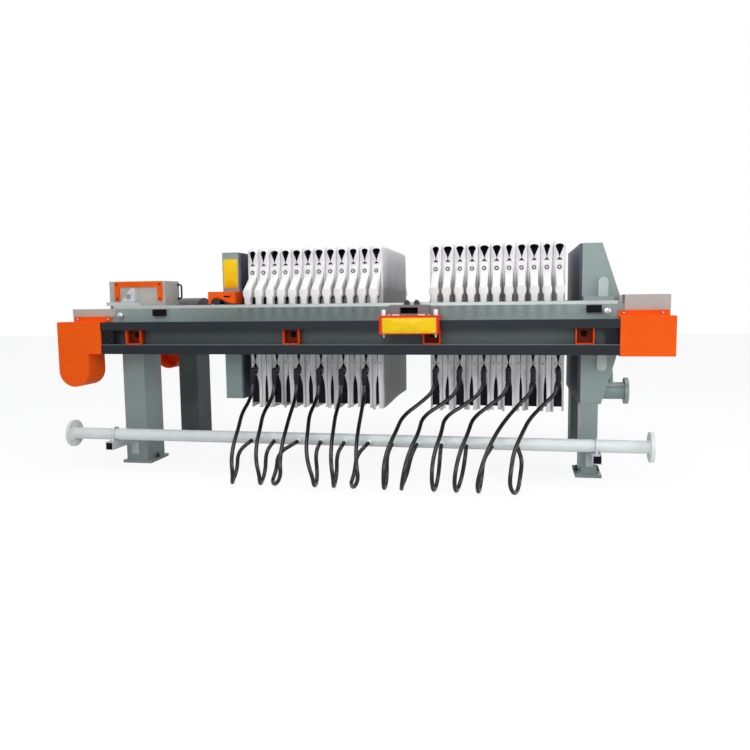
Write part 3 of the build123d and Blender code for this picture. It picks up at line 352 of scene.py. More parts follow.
def rubber_hose(name):
    """Black rubber hose: fine wrapping marks round it and a slight shine."""
    f = Finish(name)
    uv = f.add("ShaderNodeUVMap", {"uv_map": "weave"}, {})
    along, around, _ = f.axes(uv)
    wrap = ((along + around * 0.012) * (2 * math.pi / 0.0046)).sine() * 0.5 + 0.5
    dust = f.noise(f.place(), 46.0, 5.0, 0.62)
    tone = f.blend(dust.step(0.5, 0.78), linear(13, 11, 11), linear(40, 34, 30))
    return f.done(tone, dust * 0.22 + 0.10, f.bump(wrap, 0.00030, 0.5), Specular_IOR_Level=0.40,
                  Coat_Weight=0.25, Coat_Roughness=0.08)


def sign_face(name):
    """A bare yellow sign plate with a thin border line.  The plate's UV runs from -1 to 1 across and up."""
    f = Finish(name)
    uv = f.add("ShaderNodeUVMap", {"uv_map": "weave"}, {})
    across, up, _ = f.axes(uv)
    fade = f.noise(f.place(), 30.0, 4.0)
    tone = f.blend(fade.step(0.3, 0.7), linear(250, 210, 8), linear(246, 200, 2))
    side, top = across.size() - 1.0, up.size() - 1.0
    rim = side.step(-0.040, -0.030).most(top.step(-0.085, -0.065))
    line = rim * (1.0 - side.step(-0.020, -0.012).most(top.step(-0.045, -0.030)))
    tone = f.blend(line * 0.35, tone, linear(150, 112, 20))
    return f.done(tone, fade * 0.2 + 0.26, f.bump(fade, 0.0001, 0.3), Specular_IOR_Level=0.25)


FRAME_GREEN = linear(140, 157, 153)
TROLLEY_RED = linear(238, 40, 0)
FINISHES = {
    "frame_paint": enamel("frame_enamel", FRAME_GREEN, 0.30, 0.4, low_grime=0.30),
    "rail_paint": enamel("rail_enamel", linear(14, 24, 33), 0.40, 0.05, dusty=0.03, shine=0.35,
                         marks=rail_web_and_painted_light),
    "guard_paint": enamel("guard_enamel", linear(255, 94, 2), 0.44, 0.0, worn=linear(196, 66, 10),
                          dusty=0.02, shine=0.18),
    "end_plate_paint": enamel("pale_enamel", linear(184, 180, 174), 0.42, 0.2,
                              worn=linear(150, 146, 138)),
    "wear_steel": steel("ground_strip", linear(206, 212, 210), 0.30),
    "bright_steel": steel("plated_steel", linear(222, 224, 226), 0.20, (60.0, 60.0, 1.0), 0.3),
    "galvanised": zinc("galvanised_steel"),
    "dark_steel": enamel("dark_enamel", linear(36, 36, 38), 0.38, 0.15, dusty=0.3, shine=0.35),
    "plate_plastic": plastic("plate_polypropylene", linear(232, 229, 228), linear(248, 246, 245), 0.42),
    "cloth": woven("filter_cloth"),
    "lining_plastic": plastic("dark_lining", linear(68, 72, 88), linear(96, 101, 118), 0.46, shine=0.35),
    "buffer_rubber": plastic("buffer_rubber", linear(4, 4, 6), linear(11, 11, 13), 0.6, shine=0.12),
    "hose_rubber": rubber_hose("hose_rubber"),
    "pipe_paint": enamel("pipe_enamel", linear(226, 233, 231), 0.30, 0.3, worn=linear(170, 162, 146)),
    "fitting_black": plastic("fitting_plastic", linear(12, 12, 14), linear(26, 25, 27), 0.36, shine=0.3),
}
TROLLEY_ENAMEL = enamel("trolley_enamel", TROLLEY_RED, 0.36, 0.0, dusty=0.02, shine=0.25)
LABEL_ENAMEL = enamel("label_enamel", TROLLEY_RED, 0.36, 0.0, dusty=0.02, shine=0.25, marks=label_marks)
BRACKET_ENAMEL = enamel("bracket_enamel", linear(250, 78, 0), 0.44, 0.0, dusty=0.02, shine=0.18,
                        marks=bracket_pocket_shade)
BEAM_ENAMEL = enamel("beam_enamel", FRAME_GREEN, 0.26, 0.4, marks=beam_painted_light)
# Lighter than the frame green: on the tie lugs a painted highlight, on the leg plates their own pale paint
LUG_HIGHLIGHT_AND_PALE_ENAMEL = enamel("lug_highlight_and_pale_enamel", linear(188, 200, 197), 0.22, 0.6)
BLOCK_ENAMEL = enamel("block_enamel", FRAME_GREEN, 0.30, 0.3, marks=block_marks)
CLAW_ENAMEL = enamel("claw_enamel", linear(118, 118, 121), 0.34, 0.1, dusty=0.05, marks=claw_marks)
# The far legs' enamel carries painted shade
FAR_LEG_SHADED_ENAMEL = enamel("far_leg_painted_shade_enamel", FRAME_GREEN, 0.40, 0.05, shine=0.25, marks=far_leg_painted_shade)
SIGN_YELLOW = sign_face("sign_yellow")
# Near-black: the rail ends are dark plates, and the sheets at the plates' edges are painted shade
DARK_PLATE_AND_SHADE_SHEET = plastic("dark_plate_and_painted_shade", linear(26, 24, 30), linear(44, 42, 50), 0.7, shine=0.1)
OWN_FINISH = {
    "near_trolley": TROLLEY_ENAMEL, "far_trolley": LABEL_ENAMEL, "rail_brackets": BRACKET_ENAMEL,
    # The tie lugs take the lighter enamel as a painted highlight
    "near_beam": BEAM_ENAMEL, "far_beam": BEAM_ENAMEL, "tie_lugs": LUG_HIGHLIGHT_AND_PALE_ENAMEL,
    "near_trolley_claws": CLAW_ENAMEL, "far_trolley_claws": CLAW_ENAMEL,
    "rest_blocks": BLOCK_ENAMEL, "left_far_leg": FAR_LEG_SHADED_ENAMEL, "right_far_leg": FAR_LEG_SHADED_ENAMEL,
}

slot_of = {part["node"]: part["material_slot"] for part in frame["record"]["subparts"]}
for node_name, node_object in frame["nodes"].items():
    finish = OWN_FINISH.get(node_name, FINISHES[slot_of[node_name]])
    node_object.data.materials.clear()
    node_object.data.materials.append(finish)


# ---------------------------------------------------------------- shapes

def grid(points, around=False):
    """Faces over a grid of points (rows, columns, 3); around joins the last column to the first."""
    rows, columns = points.shape[:2]
    index = np.arange(rows * columns).reshape(rows, columns)
    if around:
        index = np.concatenate([index, index[:, :1]], axis=1)
    faces = np.stack([index[:-1, :-1], index[:-1, 1:], index[1:, 1:], index[1:, :-1]], axis=-1)
    return points.reshape(-1, 3), faces.reshape(-1, 4)


def stack(outline, levels):
    """An outline (n, 2) about its centre, repeated at levels (scale, height); scale 0 closes an end."""
    outline = np.asarray(outline, float)
    scale, height = np.asarray(levels, float).T
    flat = outline[None] * scale[:, None, None]
    rise = np.broadcast_to(height[:, None, None], (len(scale), len(outline), 1))
    return grid(np.concatenate([flat, rise], axis=2), around=True)


def polygon(sides, radius, turn=0.0):
    """Corners of a regular outline."""
    angle = 2 * np.pi * np.arange(sides) / sides + turn
    return radius * np.stack([np.cos(angle), np.sin(angle)], axis=1)


def rounded(width, height, corner, sides=5):
    """A rectangle whose corners are quarter circles."""
    angle = np.linspace(0, np.pi / 2, sides)
    quarter = corner * np.stack([np.cos(angle), np.sin(angle)], axis=1)
    sets = []
    for turn, (sx, sy) in enumerate(((1, 1), (-1, 1), (-1, -1), (1, -1))):
        c, s = math.cos(turn * math.pi / 2), math.sin(turn * math.pi / 2)
        spun = quarter @ np.array([[c, s], [-s, c]])
        sets.append(spun + (sx * (width / 2 - corner), sy * (height / 2 - corner)))
    return np.concatenate(sets)


def slab(width, height, thickness, corner, bevel):
    """A plate with rounded corners and bevelled rims, rising from z = 0."""
    inner = 1 - 2 * bevel / min(width, height)
    levels = [(0, 0), (inner, 0), (1, bevel), (1, thickness - bevel), (inner, thickness), (0, thickness)]
    return stack(rounded(width, height, corner), levels)


def bar(low, high, corner=0.001):
    """A block between two corners, with rounded upright edges and bevelled rims."""
    low, high = np.array(low, float), np.array(high, float)
    wide, painted_shade, tall = high - low
    foot = ((low[0] + high[0]) / 2, (low[1] + high[1]) / 2, low[2])
    return spread(slab(wide, painted_shade, tall, corner, 0.6 * corner), [foot])


def bolt_head(across, tall, washer=0.0):
    """A hexagon head with a chamfered rim, on a washer if one is asked for."""
    levels = [(0, 0), (1, 0), (1, 0.8 * tall), (0.88, tall), (0.55, tall), (0.5, 0.82 * tall),
              (0, 0.82 * tall)]
    head = stack(polygon(6, across / math.sqrt(3)), levels)
    if not washer:
        return head
    under = [(0, -0.0015), (0.96, -0.0015), (1, -0.0011), (1, -0.0004), (0.96, 0), (0, 0)]
    return merge([head, stack(polygon(20, washer), under)])


def merge(shapes):
    """Several shapes as one."""
    points, faces, start = [], [], 0
    for p, q in shapes:
        points.append(p)
        faces.append(q + start)
        start += len(p)
    return np.concatenate(points), np.concatenate(faces)


TURNS = {
    "+x": np.array([[0, 0, 1], [1, 0, 0], [0, 1, 0]], float),
    "-y": np.array([[1, 0, 0], [0, 0, -1], [0, 1, 0]], float),
    "-z": np.array([[1, 0, 0], [0, -1, 0], [0, 0, -1]], float),
}


def facing(shape, way):
    """The shape turned so that its own z looks along way."""
    points, faces = shape
    return points @ TURNS[way].T, faces


def spread(shape, places):
    """Copies of a shape, one at each place."""
    points, faces = shape
    places = np.asarray(places, float).reshape(-1, 3)
    copies = (places[:, None] + points[None]).reshape(-1, 3)
    offset = len(points) * np.arange(len(places))[:, None, None]
    return copies, (faces[None] + offset).reshape(-1, faces.shape[1])


def mirrored(shape):
    """The shape and its twin on the far side of the press."""
    points, faces = shape
    return merge([shape, (points * (1, -1, 1), faces[:, ::-1])])


def make(name, shape, finish, body=None, uv=None, sharp=35.0, outward=False):
    """A mesh object from a shape.  Points that meet are welded, angles under sharp degrees are shaded smooth,
    and outward turns the faces of a closed shape outward."""
    points, faces = shape
    mesh = bpy.data.meshes.new(name)
    mesh.from_pydata(points.tolist(), [], faces.tolist())
    if uv is not None:
        layer = mesh.uv_layers.new(name="weave")
        layer.data.foreach_set("uv", np.asarray(uv, float)[faces.ravel()].ravel())
    b = bmesh.new()
    b.from_mesh(mesh)
    bmesh.ops.remove_doubles(b, verts=b.verts, dist=1e-6)
    bmesh.ops.dissolve_degenerate(b, edges=b.edges, dist=1e-7)
    if outward:
        bmesh.ops.recalc_face_normals(b, faces=b.faces)
    b.to_mesh(mesh)
    b.free()
    mesh.polygons.foreach_set("use_smooth", np.ones(len(mesh.polygons), bool))
    mesh.set_sharp_from_angle(angle=math.radians(sharp))
    mesh.materials.append(FINISHES[finish] if isinstance(finish, str) else finish)
    piece = bpy.data.objects.new(name, mesh)
    bpy.context.collection.objects.link(piece)
    if body:
        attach(piece, body)
    return piece


# ---------------------------------------------------------------- hoses

HOSE_TOP_Y, HOSE_TOP_Z = -0.462, 0.486
# A hose's points: share of the way in X from its elbow to its nipple, then Y and Z
HOSE_POINTS = np.array([
    (0.00, HOSE_TOP_Y, HOSE_TOP_Z),
    (0.00, HOSE_TOP_Y, 0.428),
    (0.06, -0.497, 0.368),
    (0.22, -0.588, 0.312),
    (0.44, -0.700, 0.258),
    (0.68, -0.808, 0.198),
    (0.86, -0.872, 0.135),
    (0.93, -0.881, 0.066),
    (0.97, -0.843, 0.015),
    (1.00, -0.776, 0.014),
    (1.00, -0.738, 0.060),
    (1.00, -0.740, 0.146),
    (1.00, -0.700, 0.192),
    (1.00, -0.652, 0.192),
])
# How far each hose swings aside in X at its points 3, 5, 7, 9 and 11, counted from 0, in mm
HOSE_SHIFTS = ((-56, 4, -17, -63, -49), (-62, -13, -3, -33, -23), (-38, 7, -16, -101, -79),
               (-57, -11, 19, 4, -9), (-42, 5, -1, -24, -22), (-26, -3, 0, -66, -43),
               (-132, -76, -20, -15, -15), (-153, -69, -51, -57, -19), (-165, -88, -36, -16, 0),
               (-148, -94, -54, -31, -2), (-108, -101, -70, -51, -36), (-121, -104, -48, 2, 21))
SLACK_MOST = 0.026
FERRULE_LENGTH = 0.040


def distance(line):
    """How far each point of a line lies along it."""
    return np.concatenate([[0], np.cumsum(np.linalg.norm(np.diff(line, axis=0), axis=1))])


def smooth_line(points):
    """Points read from a NURBS spline that has the given points as its control points."""
    curve = bpy.data.curves.new("route", "CURVE")
    curve.dimensions = "3D"
    curve.resolution_u = 10
    spline = curve.splines.new("NURBS")
    spline.points.add(len(points) - 1)
    spline.points.foreach_set("co", np.column_stack([points, np.ones(len(points))]).ravel())
    spline.order_u = 3
    spline.use_endpoint_u = True
    carrier = bpy.data.objects.new("route", curve)
    bpy.context.collection.objects.link(carrier)
    mesh = bpy.data.meshes.new_from_object(carrier)
    line = np.empty(3 * len(mesh.vertices))
    mesh.vertices.foreach_get("co", line)
    bpy.data.objects.remove(carrier)
    bpy.data.curves.remove(curve)
    bpy.data.meshes.remove(mesh)
    return line.reshape(-1, 3)


def tube(line, radius, sides=20, across=(1.0, 0.0, 0.0)):
    """A circle carried along a line.  radius is one number or one per point.  Each ring stands square to the
    line's own direction, with one axis square to across."""
    way = np.gradient(line, axis=0)
    way /= np.linalg.norm(way, axis=1, keepdims=True)
    side = np.cross(across, way)
    side /= np.linalg.norm(side, axis=1, keepdims=True)
    lift = np.cross(way, side)
    angle = 2 * np.pi * np.arange(sides) / sides
    ring = np.cos(angle)[None, :, None] * side[:, None] + np.sin(angle)[None, :, None] * lift[:, None]
    radius = np.broadcast_to(radius, len(line))
    return line[:, None] + radius[:, None, None] * ring


def hose_line(x_port, x_stub, shifts):
    """A hose's control points: x runs from the elbow to the nipple by the points' shares, plus the swing, and
    the hanging run, points 2 to 6, is smoothed six times by weights 1/4, 1/2, 1/4 within SLACK_MOST."""
    along, y, z = HOSE_POINTS.T
    swing = np.interp(np.arange(len(along)), (1, 3, 5, 7, 9, 11, 12), (0, *shifts, 0)) / 1000
    x = x_port + (x_stub - x_port) * along + swing
    slack = x.copy()
    for _ in range(6):
        slack[2:7] = 0.25 * slack[1:6] + 0.5 * slack[2:7] + 0.25 * slack[3:8]
    return np.column_stack([np.clip(slack, x - SLACK_MOST, x + SLACK_MOST), y, z])


def ferrule(start, way, length=FERRULE_LENGTH):
    """A crimped sleeve on a hose's end: a turned profile with two pressed grooves, along way from start."""
    profile = np.array([  # distance along, radius
        (0.0, 0.0102), (0.0, 0.0138), (0.012, 0.0138), (0.0125, 0.0128), (0.016, 0.0128), (0.017, 0.0118),
        (0.021, 0.0118), (0.022, 0.0128), (0.026, 0.0128), (0.027, 0.0118), (0.031, 0.0118),
        (0.032, 0.0126), (0.0385, 0.0126), (0.040, 0.0116), (0.040, 0.0096)])
    line = start + np.outer(profile[:, 0] * length / FERRULE_LENGTH, way)
    way = np.asarray(way, float)
    side = np.cross([1.0, 0.0, 0.0], way)
    side /= np.linalg.norm(side)
    lift = np.cross(way, side)
    angle = 2 * np.pi * np.arange(20) / 20
    ring = np.cos(angle)[:, None] * side + np.sin(angle)[:, None] * lift
    return grid(line[:, None] + profile[:, 1][:, None, None] * ring[None], around=True)


STUB_START, STUB_PITCH = -0.465, 0.1173
stub_xs = STUB_START + STUB_PITCH * np.arange(12)
ports = [("left_pack", x) for x in LEFT_PLACES[::2]] + [("right_pack", x) for x in RIGHT_PLACES[::2]]
for number, ((pack, x_port), x_stub) in enumerate(zip(ports, stub_xs)):
    line = smooth_line(hose_line(x_port, x_stub, HOSE_SHIFTS[number]))
    rings = tube(line, HOSE_R)
    rings = np.concatenate([rings, rings[:, :1]], axis=1)
    turn = np.linspace(0, 1, rings.shape[1])
    uv = np.stack(np.broadcast_arrays(distance(line)[:, None], turn[None]), axis=-1).reshape(-1, 2)
    hose = make(f"pressure_hose_{number + 1:02d}", grid(rings), "hose_rubber", uv=uv)
    top_sleeve = make(f"upper_ferrule_{number + 1:02d}", ferrule(line[0] + (0, 0, 0.001), (0, 0, -1)),
                      "fitting_black", pack)
    low_sleeve = make(f"lower_ferrule_{number + 1:02d}",
                      ferrule(line[-1] + (0, 0.001, 0), (0, -1, 0), 0.030), "bright_steel", "frame")
    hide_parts(f"hose_{number + 1:02d}")
    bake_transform(hose)


# ---------------------------------------------------------------- filter cloths

HALF = 0.0286                           # from a plate's middle to its cloth's outer line
FOLD_Z = 1.122                          # where a flap turns into the arch over the plate
ARCH_RISE = 0.0285
DROP_Z, DROP_TALL = 1.073, 0.050        # the drop-shaped opening at the upper corner
HANDLE_TOP_Z, HANDLE_LOW_Z = 1.0545, 0.885
GAP_R = 0.0125                          # the round gap over the handle
WEDGE_TOP_Z, WEDGE_TALL = 0.70, 0.055   # the wedge over the tie
LOWER_TOP_Z = 0.64
EYE_Z, EYE_R = 0.521, 0.031             # the eye for a hose's elbow
ARCH_TOP_Z, ARCH_TALL = 0.497, 0.06     # the arch at the hem
CLOTH_THICK = 0.0011
# Across a flap, from flat on the plate to the turned-in edge: the share of the way out, and the depth in Y
SECTION_SHARE = np.array([1.0, 1.0, 1.0, 0.985, 0.93, 0.80, 0.62, 0.42, 0.20, 0.0])
SECTION_Y = np.array([0.352, 0.378, 0.3935, 0.3995, 0.4020, 0.4040, 0.4062, 0.4082, 0.4098, 0.4108])
# Heights of a flap's rows over its hem, before they are scaled to its own height
FLAP_Z = np.array([0.0, 0.006, 0.03, 0.06, 0.09, 0.12, 0.145, 0.165, 0.180, 0.195, 0.207, 0.219, 0.232,
                   0.245, 0.262, 0.282, 0.310, 0.350, 0.40, 0.45, 0.50, 0.545, 0.578, 0.60, 0.64, 0.68,
                   0.715, 0.7155, 0.722, 0.7285, 0.731, 0.738, 0.745, 0.753, 0.762, 0.772, 0.780])


def opening(z, port, wide, low):
    """How far a flap's edge stands from the plate's middle at each height: a drop at the upper corner, a
    small gap over the handle, the handle's own width, a wedge over the tie, an eye for a fitting and an arch
    below."""
    drop = wide * np.clip((z - DROP_Z) / DROP_TALL, 0, 1) ** 1.15
    gap = GAP_R * np.sqrt(np.clip(1 - (z - 1.0555) / GAP_R, 0, 1)) * (z > HANDLE_TOP_Z)
    handle = 0.0215 * (1 - np.clip((0.905 - z) / 0.02, 0, 1)) * (z <= HANDLE_TOP_Z)
    plain = 0.004 + 0.0025 * np.sin(z * 23 + 40 * wide)
    wedge = (0.011 if port else 0.002) * np.clip((z - TIE_Z) / WEDGE_TALL, 0, 1) * (z < WEDGE_TOP_Z)
    eye = 0.0155 * np.clip(1 - np.abs(z - EYE_Z) / EYE_R, 0, 1) ** 0.7 if port else 0.0
    arch = low * np.clip((ARCH_TOP_Z - z) / ARCH_TALL, 0, 1) ** 0.7
    upper = np.where(z > HANDLE_TOP_Z, np.maximum(drop, gap), np.maximum(handle, plain))
    lower = np.where(z > LOWER_TOP_Z, plain, np.maximum(np.maximum(wedge, eye), arch))
    return np.where(z > HANDLE_LOW_Z, upper, lower) + 0.0006


def filter_cloth(x_plate, port, seed, left_end, right_end):
    """A cloth hung over its plate: rows run from one flap's hem over the top to the other's, and columns
    across.  At each height a flap lies flat on the plate, turns round its edge and comes back towards the
    middle, so its point is inner + share * (outer - inner), with the share and the depth in Y given by
    SECTION.  Over the plate the outer line is a rounded arch, (-cos, sin) of the angle raised to powers,
    rounder towards the edges.  Sines of y and z ripple the edge and the hem and slacken a pack's end face."""
    r = np.random.default_rng(seed)
    wide = r.uniform(0.0145, 0.0215)
    flaps = []
    for side in (-1, 1):
        low = r.uniform(0.016, 0.021) if port else r.uniform(0.004, 0.013)
        hem = PLATE_LOW - 0.012 + r.uniform(-0.006, 0.004)
        z = hem + (FOLD_Z - hem) * FLAP_Z / FLAP_Z[-1]
        outer = np.stack([np.full_like(z, side * HALF), z], axis=1)
        inner = np.stack([side * opening(z, port, wide, low), z], axis=1)
        flaps.append((outer, inner))
    angle = np.linspace(0, np.pi, 13)[1:-1]
    arch_in = np.stack([-wide * np.cos(angle), FOLD_Z + 0.012 * np.sin(angle)], axis=1)
    arch_flat, arch_round = (
        np.stack([-HALF * np.sign(np.cos(angle)) * np.abs(np.cos(angle)) ** power,
                  FOLD_Z + ARCH_RISE * np.sin(angle) ** rise], axis=1)
        for power, rise in ((0.35, 0.45), (0.8, 0.9)))
    middle = np.linspace(-0.34, 0.34, 9)
    ys = np.concatenate([-SECTION_Y[::-1], middle, SECTION_Y])
    share = np.concatenate([SECTION_SHARE[::-1], np.ones(len(middle)), SECTION_SHARE])
    roundness = np.clip((np.abs(ys) - 0.352) / 0.04, 0, 1)
    left, right = (inner[:, None] + share[None, :, None] * (outer - inner)[:, None] for outer, inner in flaps)
    roundness = roundness[None, :, None]
    arch_out = arch_flat[:, None] * (1 - roundness) + arch_round[:, None] * roundness
    arch = arch_in[:, None] + share[None, :, None] * (arch_out - arch_in[:, None])
    profile = np.concatenate([left, arch, right[::-1]])
    y = np.broadcast_to(ys[None], profile.shape[:2]).copy()
    x, z = profile[..., 0], profile[..., 1]
    ripple = np.sin(7 * z + 3 * y + seed) * np.sin(11 * y - 4 * z + 2 * seed)
    edge = np.exp(-((np.abs(y) - 0.404) / 0.012) ** 2)
    y += np.sign(y) * edge * 0.0022 * np.sin(31 * z + 1.7 * seed + np.sign(x) * 1.3)
    out = np.where(x > 0, right_end, left_end) * (np.abs(y) < 0.40)
    x += np.sign(x) * out * (0.00024 + 0.00022 * ripple) * np.clip((1.12 - z) / 0.05, 0, 1)
    hang = np.clip((PLATE_LOW + 0.03 - z) / 0.03, 0, 1)
    z -= hang * 0.006 * (0.5 + 0.5 * np.sin(9 * y + seed))
    points = np.stack([x_plate + x, y, z], axis=-1)
    run, wrap = distance(points[:, len(ys) // 2]), distance(points[20])
    uv = np.stack(np.broadcast_arrays(wrap[None], run[:, None]), axis=-1).reshape(-1, 2)
    return grid(points), uv, wrap[-1], run[-1]


for pack, places in PACKS.items():
    for n, x_plate in enumerate(places):
        shape, uv, across, along = filter_cloth(x_plate, n % 2 == 0, 17 * n + len(places), float(n == 0),
                                                float(n == len(places) - 1))
        cloth = make(f"{pack}_cloth_{n + 1:02d}", shape, "cloth", pack, uv=uv, sharp=80.0)
        thick = cloth.modifiers.new("thickness", "SOLIDIFY")
        thick.thickness = CLOTH_THICK
        thick.offset = 0.0
    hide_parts(pack.replace("pack", "cloths"))


# ---------------------------------------------------------------- plate handles, bolts, ties and edges in painted shade

def handle_shape():
    """A cranked handle: at each station a superellipse spans the front and back lines, with its own width.  Its
    point is middle + reach * sign(sin) |sin| ^ 0.3 and half width * sign(cos) |cos| ^ 0.3."""
    stations = np.array([
        # front y, front z, back y, back z, half width
        (-0.4136, 1.0550, -0.4006, 1.0550, 0.0172),
        (-0.4146, 1.0535, -0.4006, 1.0530, 0.0192),
        (-0.4155, 1.0400, -0.4006, 1.0300, 0.0208),
        (-0.4170, 1.0220, -0.4006, 1.0100, 0.0215),
        (-0.4200, 1.0030, -0.4006, 0.9850, 0.0206),
        (-0.4330, 0.9915, -0.4030, 0.9600, 0.0198),
        (-0.4560, 0.9755, -0.4180, 0.9420, 0.0190),
        (-0.4800, 0.9585, -0.4340, 0.9250, 0.0185),
        (-0.5000, 0.9445, -0.4520, 0.9120, 0.0184),
        (-0.5080, 0.9375, -0.4590, 0.9065, 0.0186),
        (-0.5098, 0.9335, -0.4597, 0.9050, 0.0196),
        (-0.5100, 0.9310, -0.4600, 0.9040, 0.0224),
        (-0.5100, 0.9270, -0.4600, 0.9020, 0.0229),
        (-0.5100, 0.9060, -0.4600, 0.9000, 0.0229),
        (-0.5100, 0.9030, -0.4600, 0.8980, 0.0222),
        (-0.5100, 0.8920, -0.4600, 0.8920, 0.0162),
        (-0.5098, 0.8890, -0.4600, 0.8895, 0.0154),
        (-0.5090, 0.8630, -0.4600, 0.8630, 0.0150),
        (-0.5075, 0.8604, -0.4612, 0.8604, 0.0138),
    ])
    angle = 2 * np.pi * (np.arange(24) + 0.5) / 24
    square = 0.30
    cx = np.sign(np.cos(angle)) * np.abs(np.cos(angle)) ** square
    cy = np.sign(np.sin(angle)) * np.abs(np.sin(angle)) ** square
    front, back, half = stations[:, :2], stations[:, 2:4], stations[:, 4]
    middle, reach = (front + back) / 2, (front - back) / 2
    side = half[:, None] * cx[None]
    run = middle[:, None] + reach[:, None] * cy[None, :, None]
    points = np.concatenate([side[..., None], run], axis=2)
    ends = [np.broadcast_to(points[k].mean(axis=0), points[k].shape)[None] for k in (0, -1)]
    return grid(np.concatenate([ends[0], points, ends[1]]), around=True)


def edge_strip(levels, half):
    """A thin strip along a plate's edge: levels are (y, z) points, and it spans the plate's thickness."""
    line = np.array(levels)
    left = np.column_stack([np.full(len(line), -half), line])
    right = np.column_stack([np.full(len(line), half), line])
    return grid(np.stack([left, right], axis=1))


def flat_ring(radius, hole, tall):
    """A flat ring with rounded rims."""
    levels = [(hole, 0.0), (radius, 0.0), (radius, 0.7 * tall), (0.86 * radius, tall), (hole * 1.15, tall),
              (hole, 0.7 * tall), (hole, 0.0)]
    return stack(polygon(14, 1.0), levels)


def heads(name, head, places, finish, body="frame", sharp=35.0, twins=True):
    """Copies of a fastener or small plate that looks along -Y, with their twins on the far side."""
    shape = spread(facing(head, "-y"), places)
    make(name, mirrored(shape) if twins else shape, finish, body, outward=True, sharp=sharp)


HANDLE = handle_shape()
HANDLE_WASHER = stack(polygon(22, 0.0108), [(0, 0), (1, 0), (1, 0.0012), (0.92, 0.0018), (0, 0.0018)])
HANDLE_BOLT = bolt_head(0.0105, 0.0045)
GROMMET = flat_ring(0.0032, 0.0014, 0.0012)
# The plate's edge as a dark strip of painted shade where it shows in the openings of the cloth, as (y, z)
# points
UPPER_EDGE = [(-0.4005, 1.0600), (-0.3476, 1.1365)]
LOWER_EDGE = [(-0.3900, 0.3420), (-0.3900, 0.4780), (-0.4004, 0.4935), (-0.4004, 0.9000)]
for pack, places in PACKS.items():
    side = pack.split("_")[0]
    ones = np.ones(len(places))
    at = np.column_stack([places, 0 * ones, 0 * ones])
    handles = make(f"{side}_plate_handles", mirrored(spread(HANDLE, at)), "plate_plastic", pack,
                   outward=True, sharp=50.0)
    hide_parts(f"{side}_handles")
    heads(f"{side}_handle_washers", HANDLE_WASHER, at + (0, -0.4170, BOLT_Z), "dark_steel", pack, 30.0)
    heads(f"{side}_handle_bolts", HANDLE_BOLT, at + (0, -0.4178, BOLT_Z), "galvanised", pack, 30.0)
    ties = np.concatenate([at + (dx, -0.4092, TIE_Z) for dx in (-0.0125, 0.0125)])
    heads(f"{side}_cloth_eyelets", GROMMET, ties, "dark_steel", pack)
    # Dark sheets at the plates' edges: painted shade in the openings of the cloth
    strips = merge([spread(edge_strip(UPPER_EDGE, 0.0266), at), spread(edge_strip(LOWER_EDGE, 0.0266), at)])
    make(f"{side}_plate_edge_shades", mirrored(strips), DARK_PLATE_AND_SHADE_SHEET, pack)


# ---------------------------------------------------------------- signs, bolts and small fittings

def sign(name, centre, width, height, body):
    """A bare sign plate on a face that looks along -Y, with a rivet near each corner."""
    plate = slab(width, height, 0.0016, 0.004, 0.0004)
    uv = plate[0][:, :2] / (width / 2, height / 2)
    dx, dz = width / 2 - 0.008, height / 2 - 0.008
    rivet = stack(polygon(12, 0.0026), [(0, 0), (1, 0), (0.9, 0.0008), (0.55, 0.0014), (0, 0.0017)])
    places = [np.array(centre) + (sx * dx, -0.0016, sz * dz) for sx in (-1, 1) for sz in (-1, 1)]
    make(name, spread(facing(plate, "-y"), [centre]), SIGN_YELLOW, body, uv=uv,
         outward=True)
    heads(name + "_rivets", rivet, places, "galvanised", body, twins=False)


def pair(name, shape, finish):
    """A fitting on the near shuttle and its twin on the far one."""
    points, faces = shape
    make("near_" + name, shape, finish, "near_shuttle", outward=True)
    make("far_" + name, (points * (1, -1, 1), faces[:, ::-1]), finish, "far_shuttle", outward=True)


sign("trolley_sign", (LABEL_X, -0.6650, LABEL_Z), 0.256, 0.072, "near_shuttle")
sign("head_sign", (-0.660, -0.4000, 1.022), 0.078, 0.150, "head")

# Turned-out lip over the arch of each head tray, and a thin black sheet as painted shade in the tray's slot
arch = smooth_line(np.array([
    (-0.6100, 0, 0.8665), (-0.6330, 0, 0.8700), (-0.6580, 0, 0.8840), (-0.6900, 0, 0.8985),
    (-0.7160, 0, 0.8960), (-0.7260, 0, 0.8820), (-0.7290, 0, 0.8665)]))
side_way = np.cross(np.gradient(arch, axis=0), (0.0, 1.0, 0.0))
side_way /= np.linalg.norm(side_way, axis=1, keepdims=True)
lip_section = np.array([  # distance out from the arch, y
    (0.0000, -0.5098), (0.0000, -0.5125), (0.0030, -0.5150), (0.0062, -0.5146), (0.0075, -0.5098)])
lip_depth = lip_section[None, :, 1:] * np.array([0.0, 1.0, 0.0])
lip = arch[:, None] - side_way[:, None] * lip_section[None, :, :1] + lip_depth
make("tray_lips", mirrored(grid(lip, around=True)), "guard_paint", "head", outward=True, sharp=60.0)
heads("tray_slot_shades", slab(0.034, 0.0085, 0.0008, 0.004, 0.0002), [(-0.640, TRAY_FACE_Y, 0.902)],
      "buffer_rubber", "head")

guard_screws = [(x, GUARD_FACE_Y, z) for x, z in ((-1.475, 0.792), (-1.300, 0.792), (1.300, 0.803),
                                                  (1.470, 0.803))]
heads("guard_screws", bolt_head(0.010, 0.004, 0.0078), guard_screws, "galvanised")
nut_washer = stack(polygon(28, 0.0145), [(0, 0), (1, 0), (1, 0.0015), (0.88, 0.0030), (0.5, 0.0036),
                                         (0, 0.0036)])
heads("tie_bolt_washers", nut_washer, [(x, -0.5430, 0.811) for x in (LEFT_LEG_X, 1.2265)], "bright_steel")

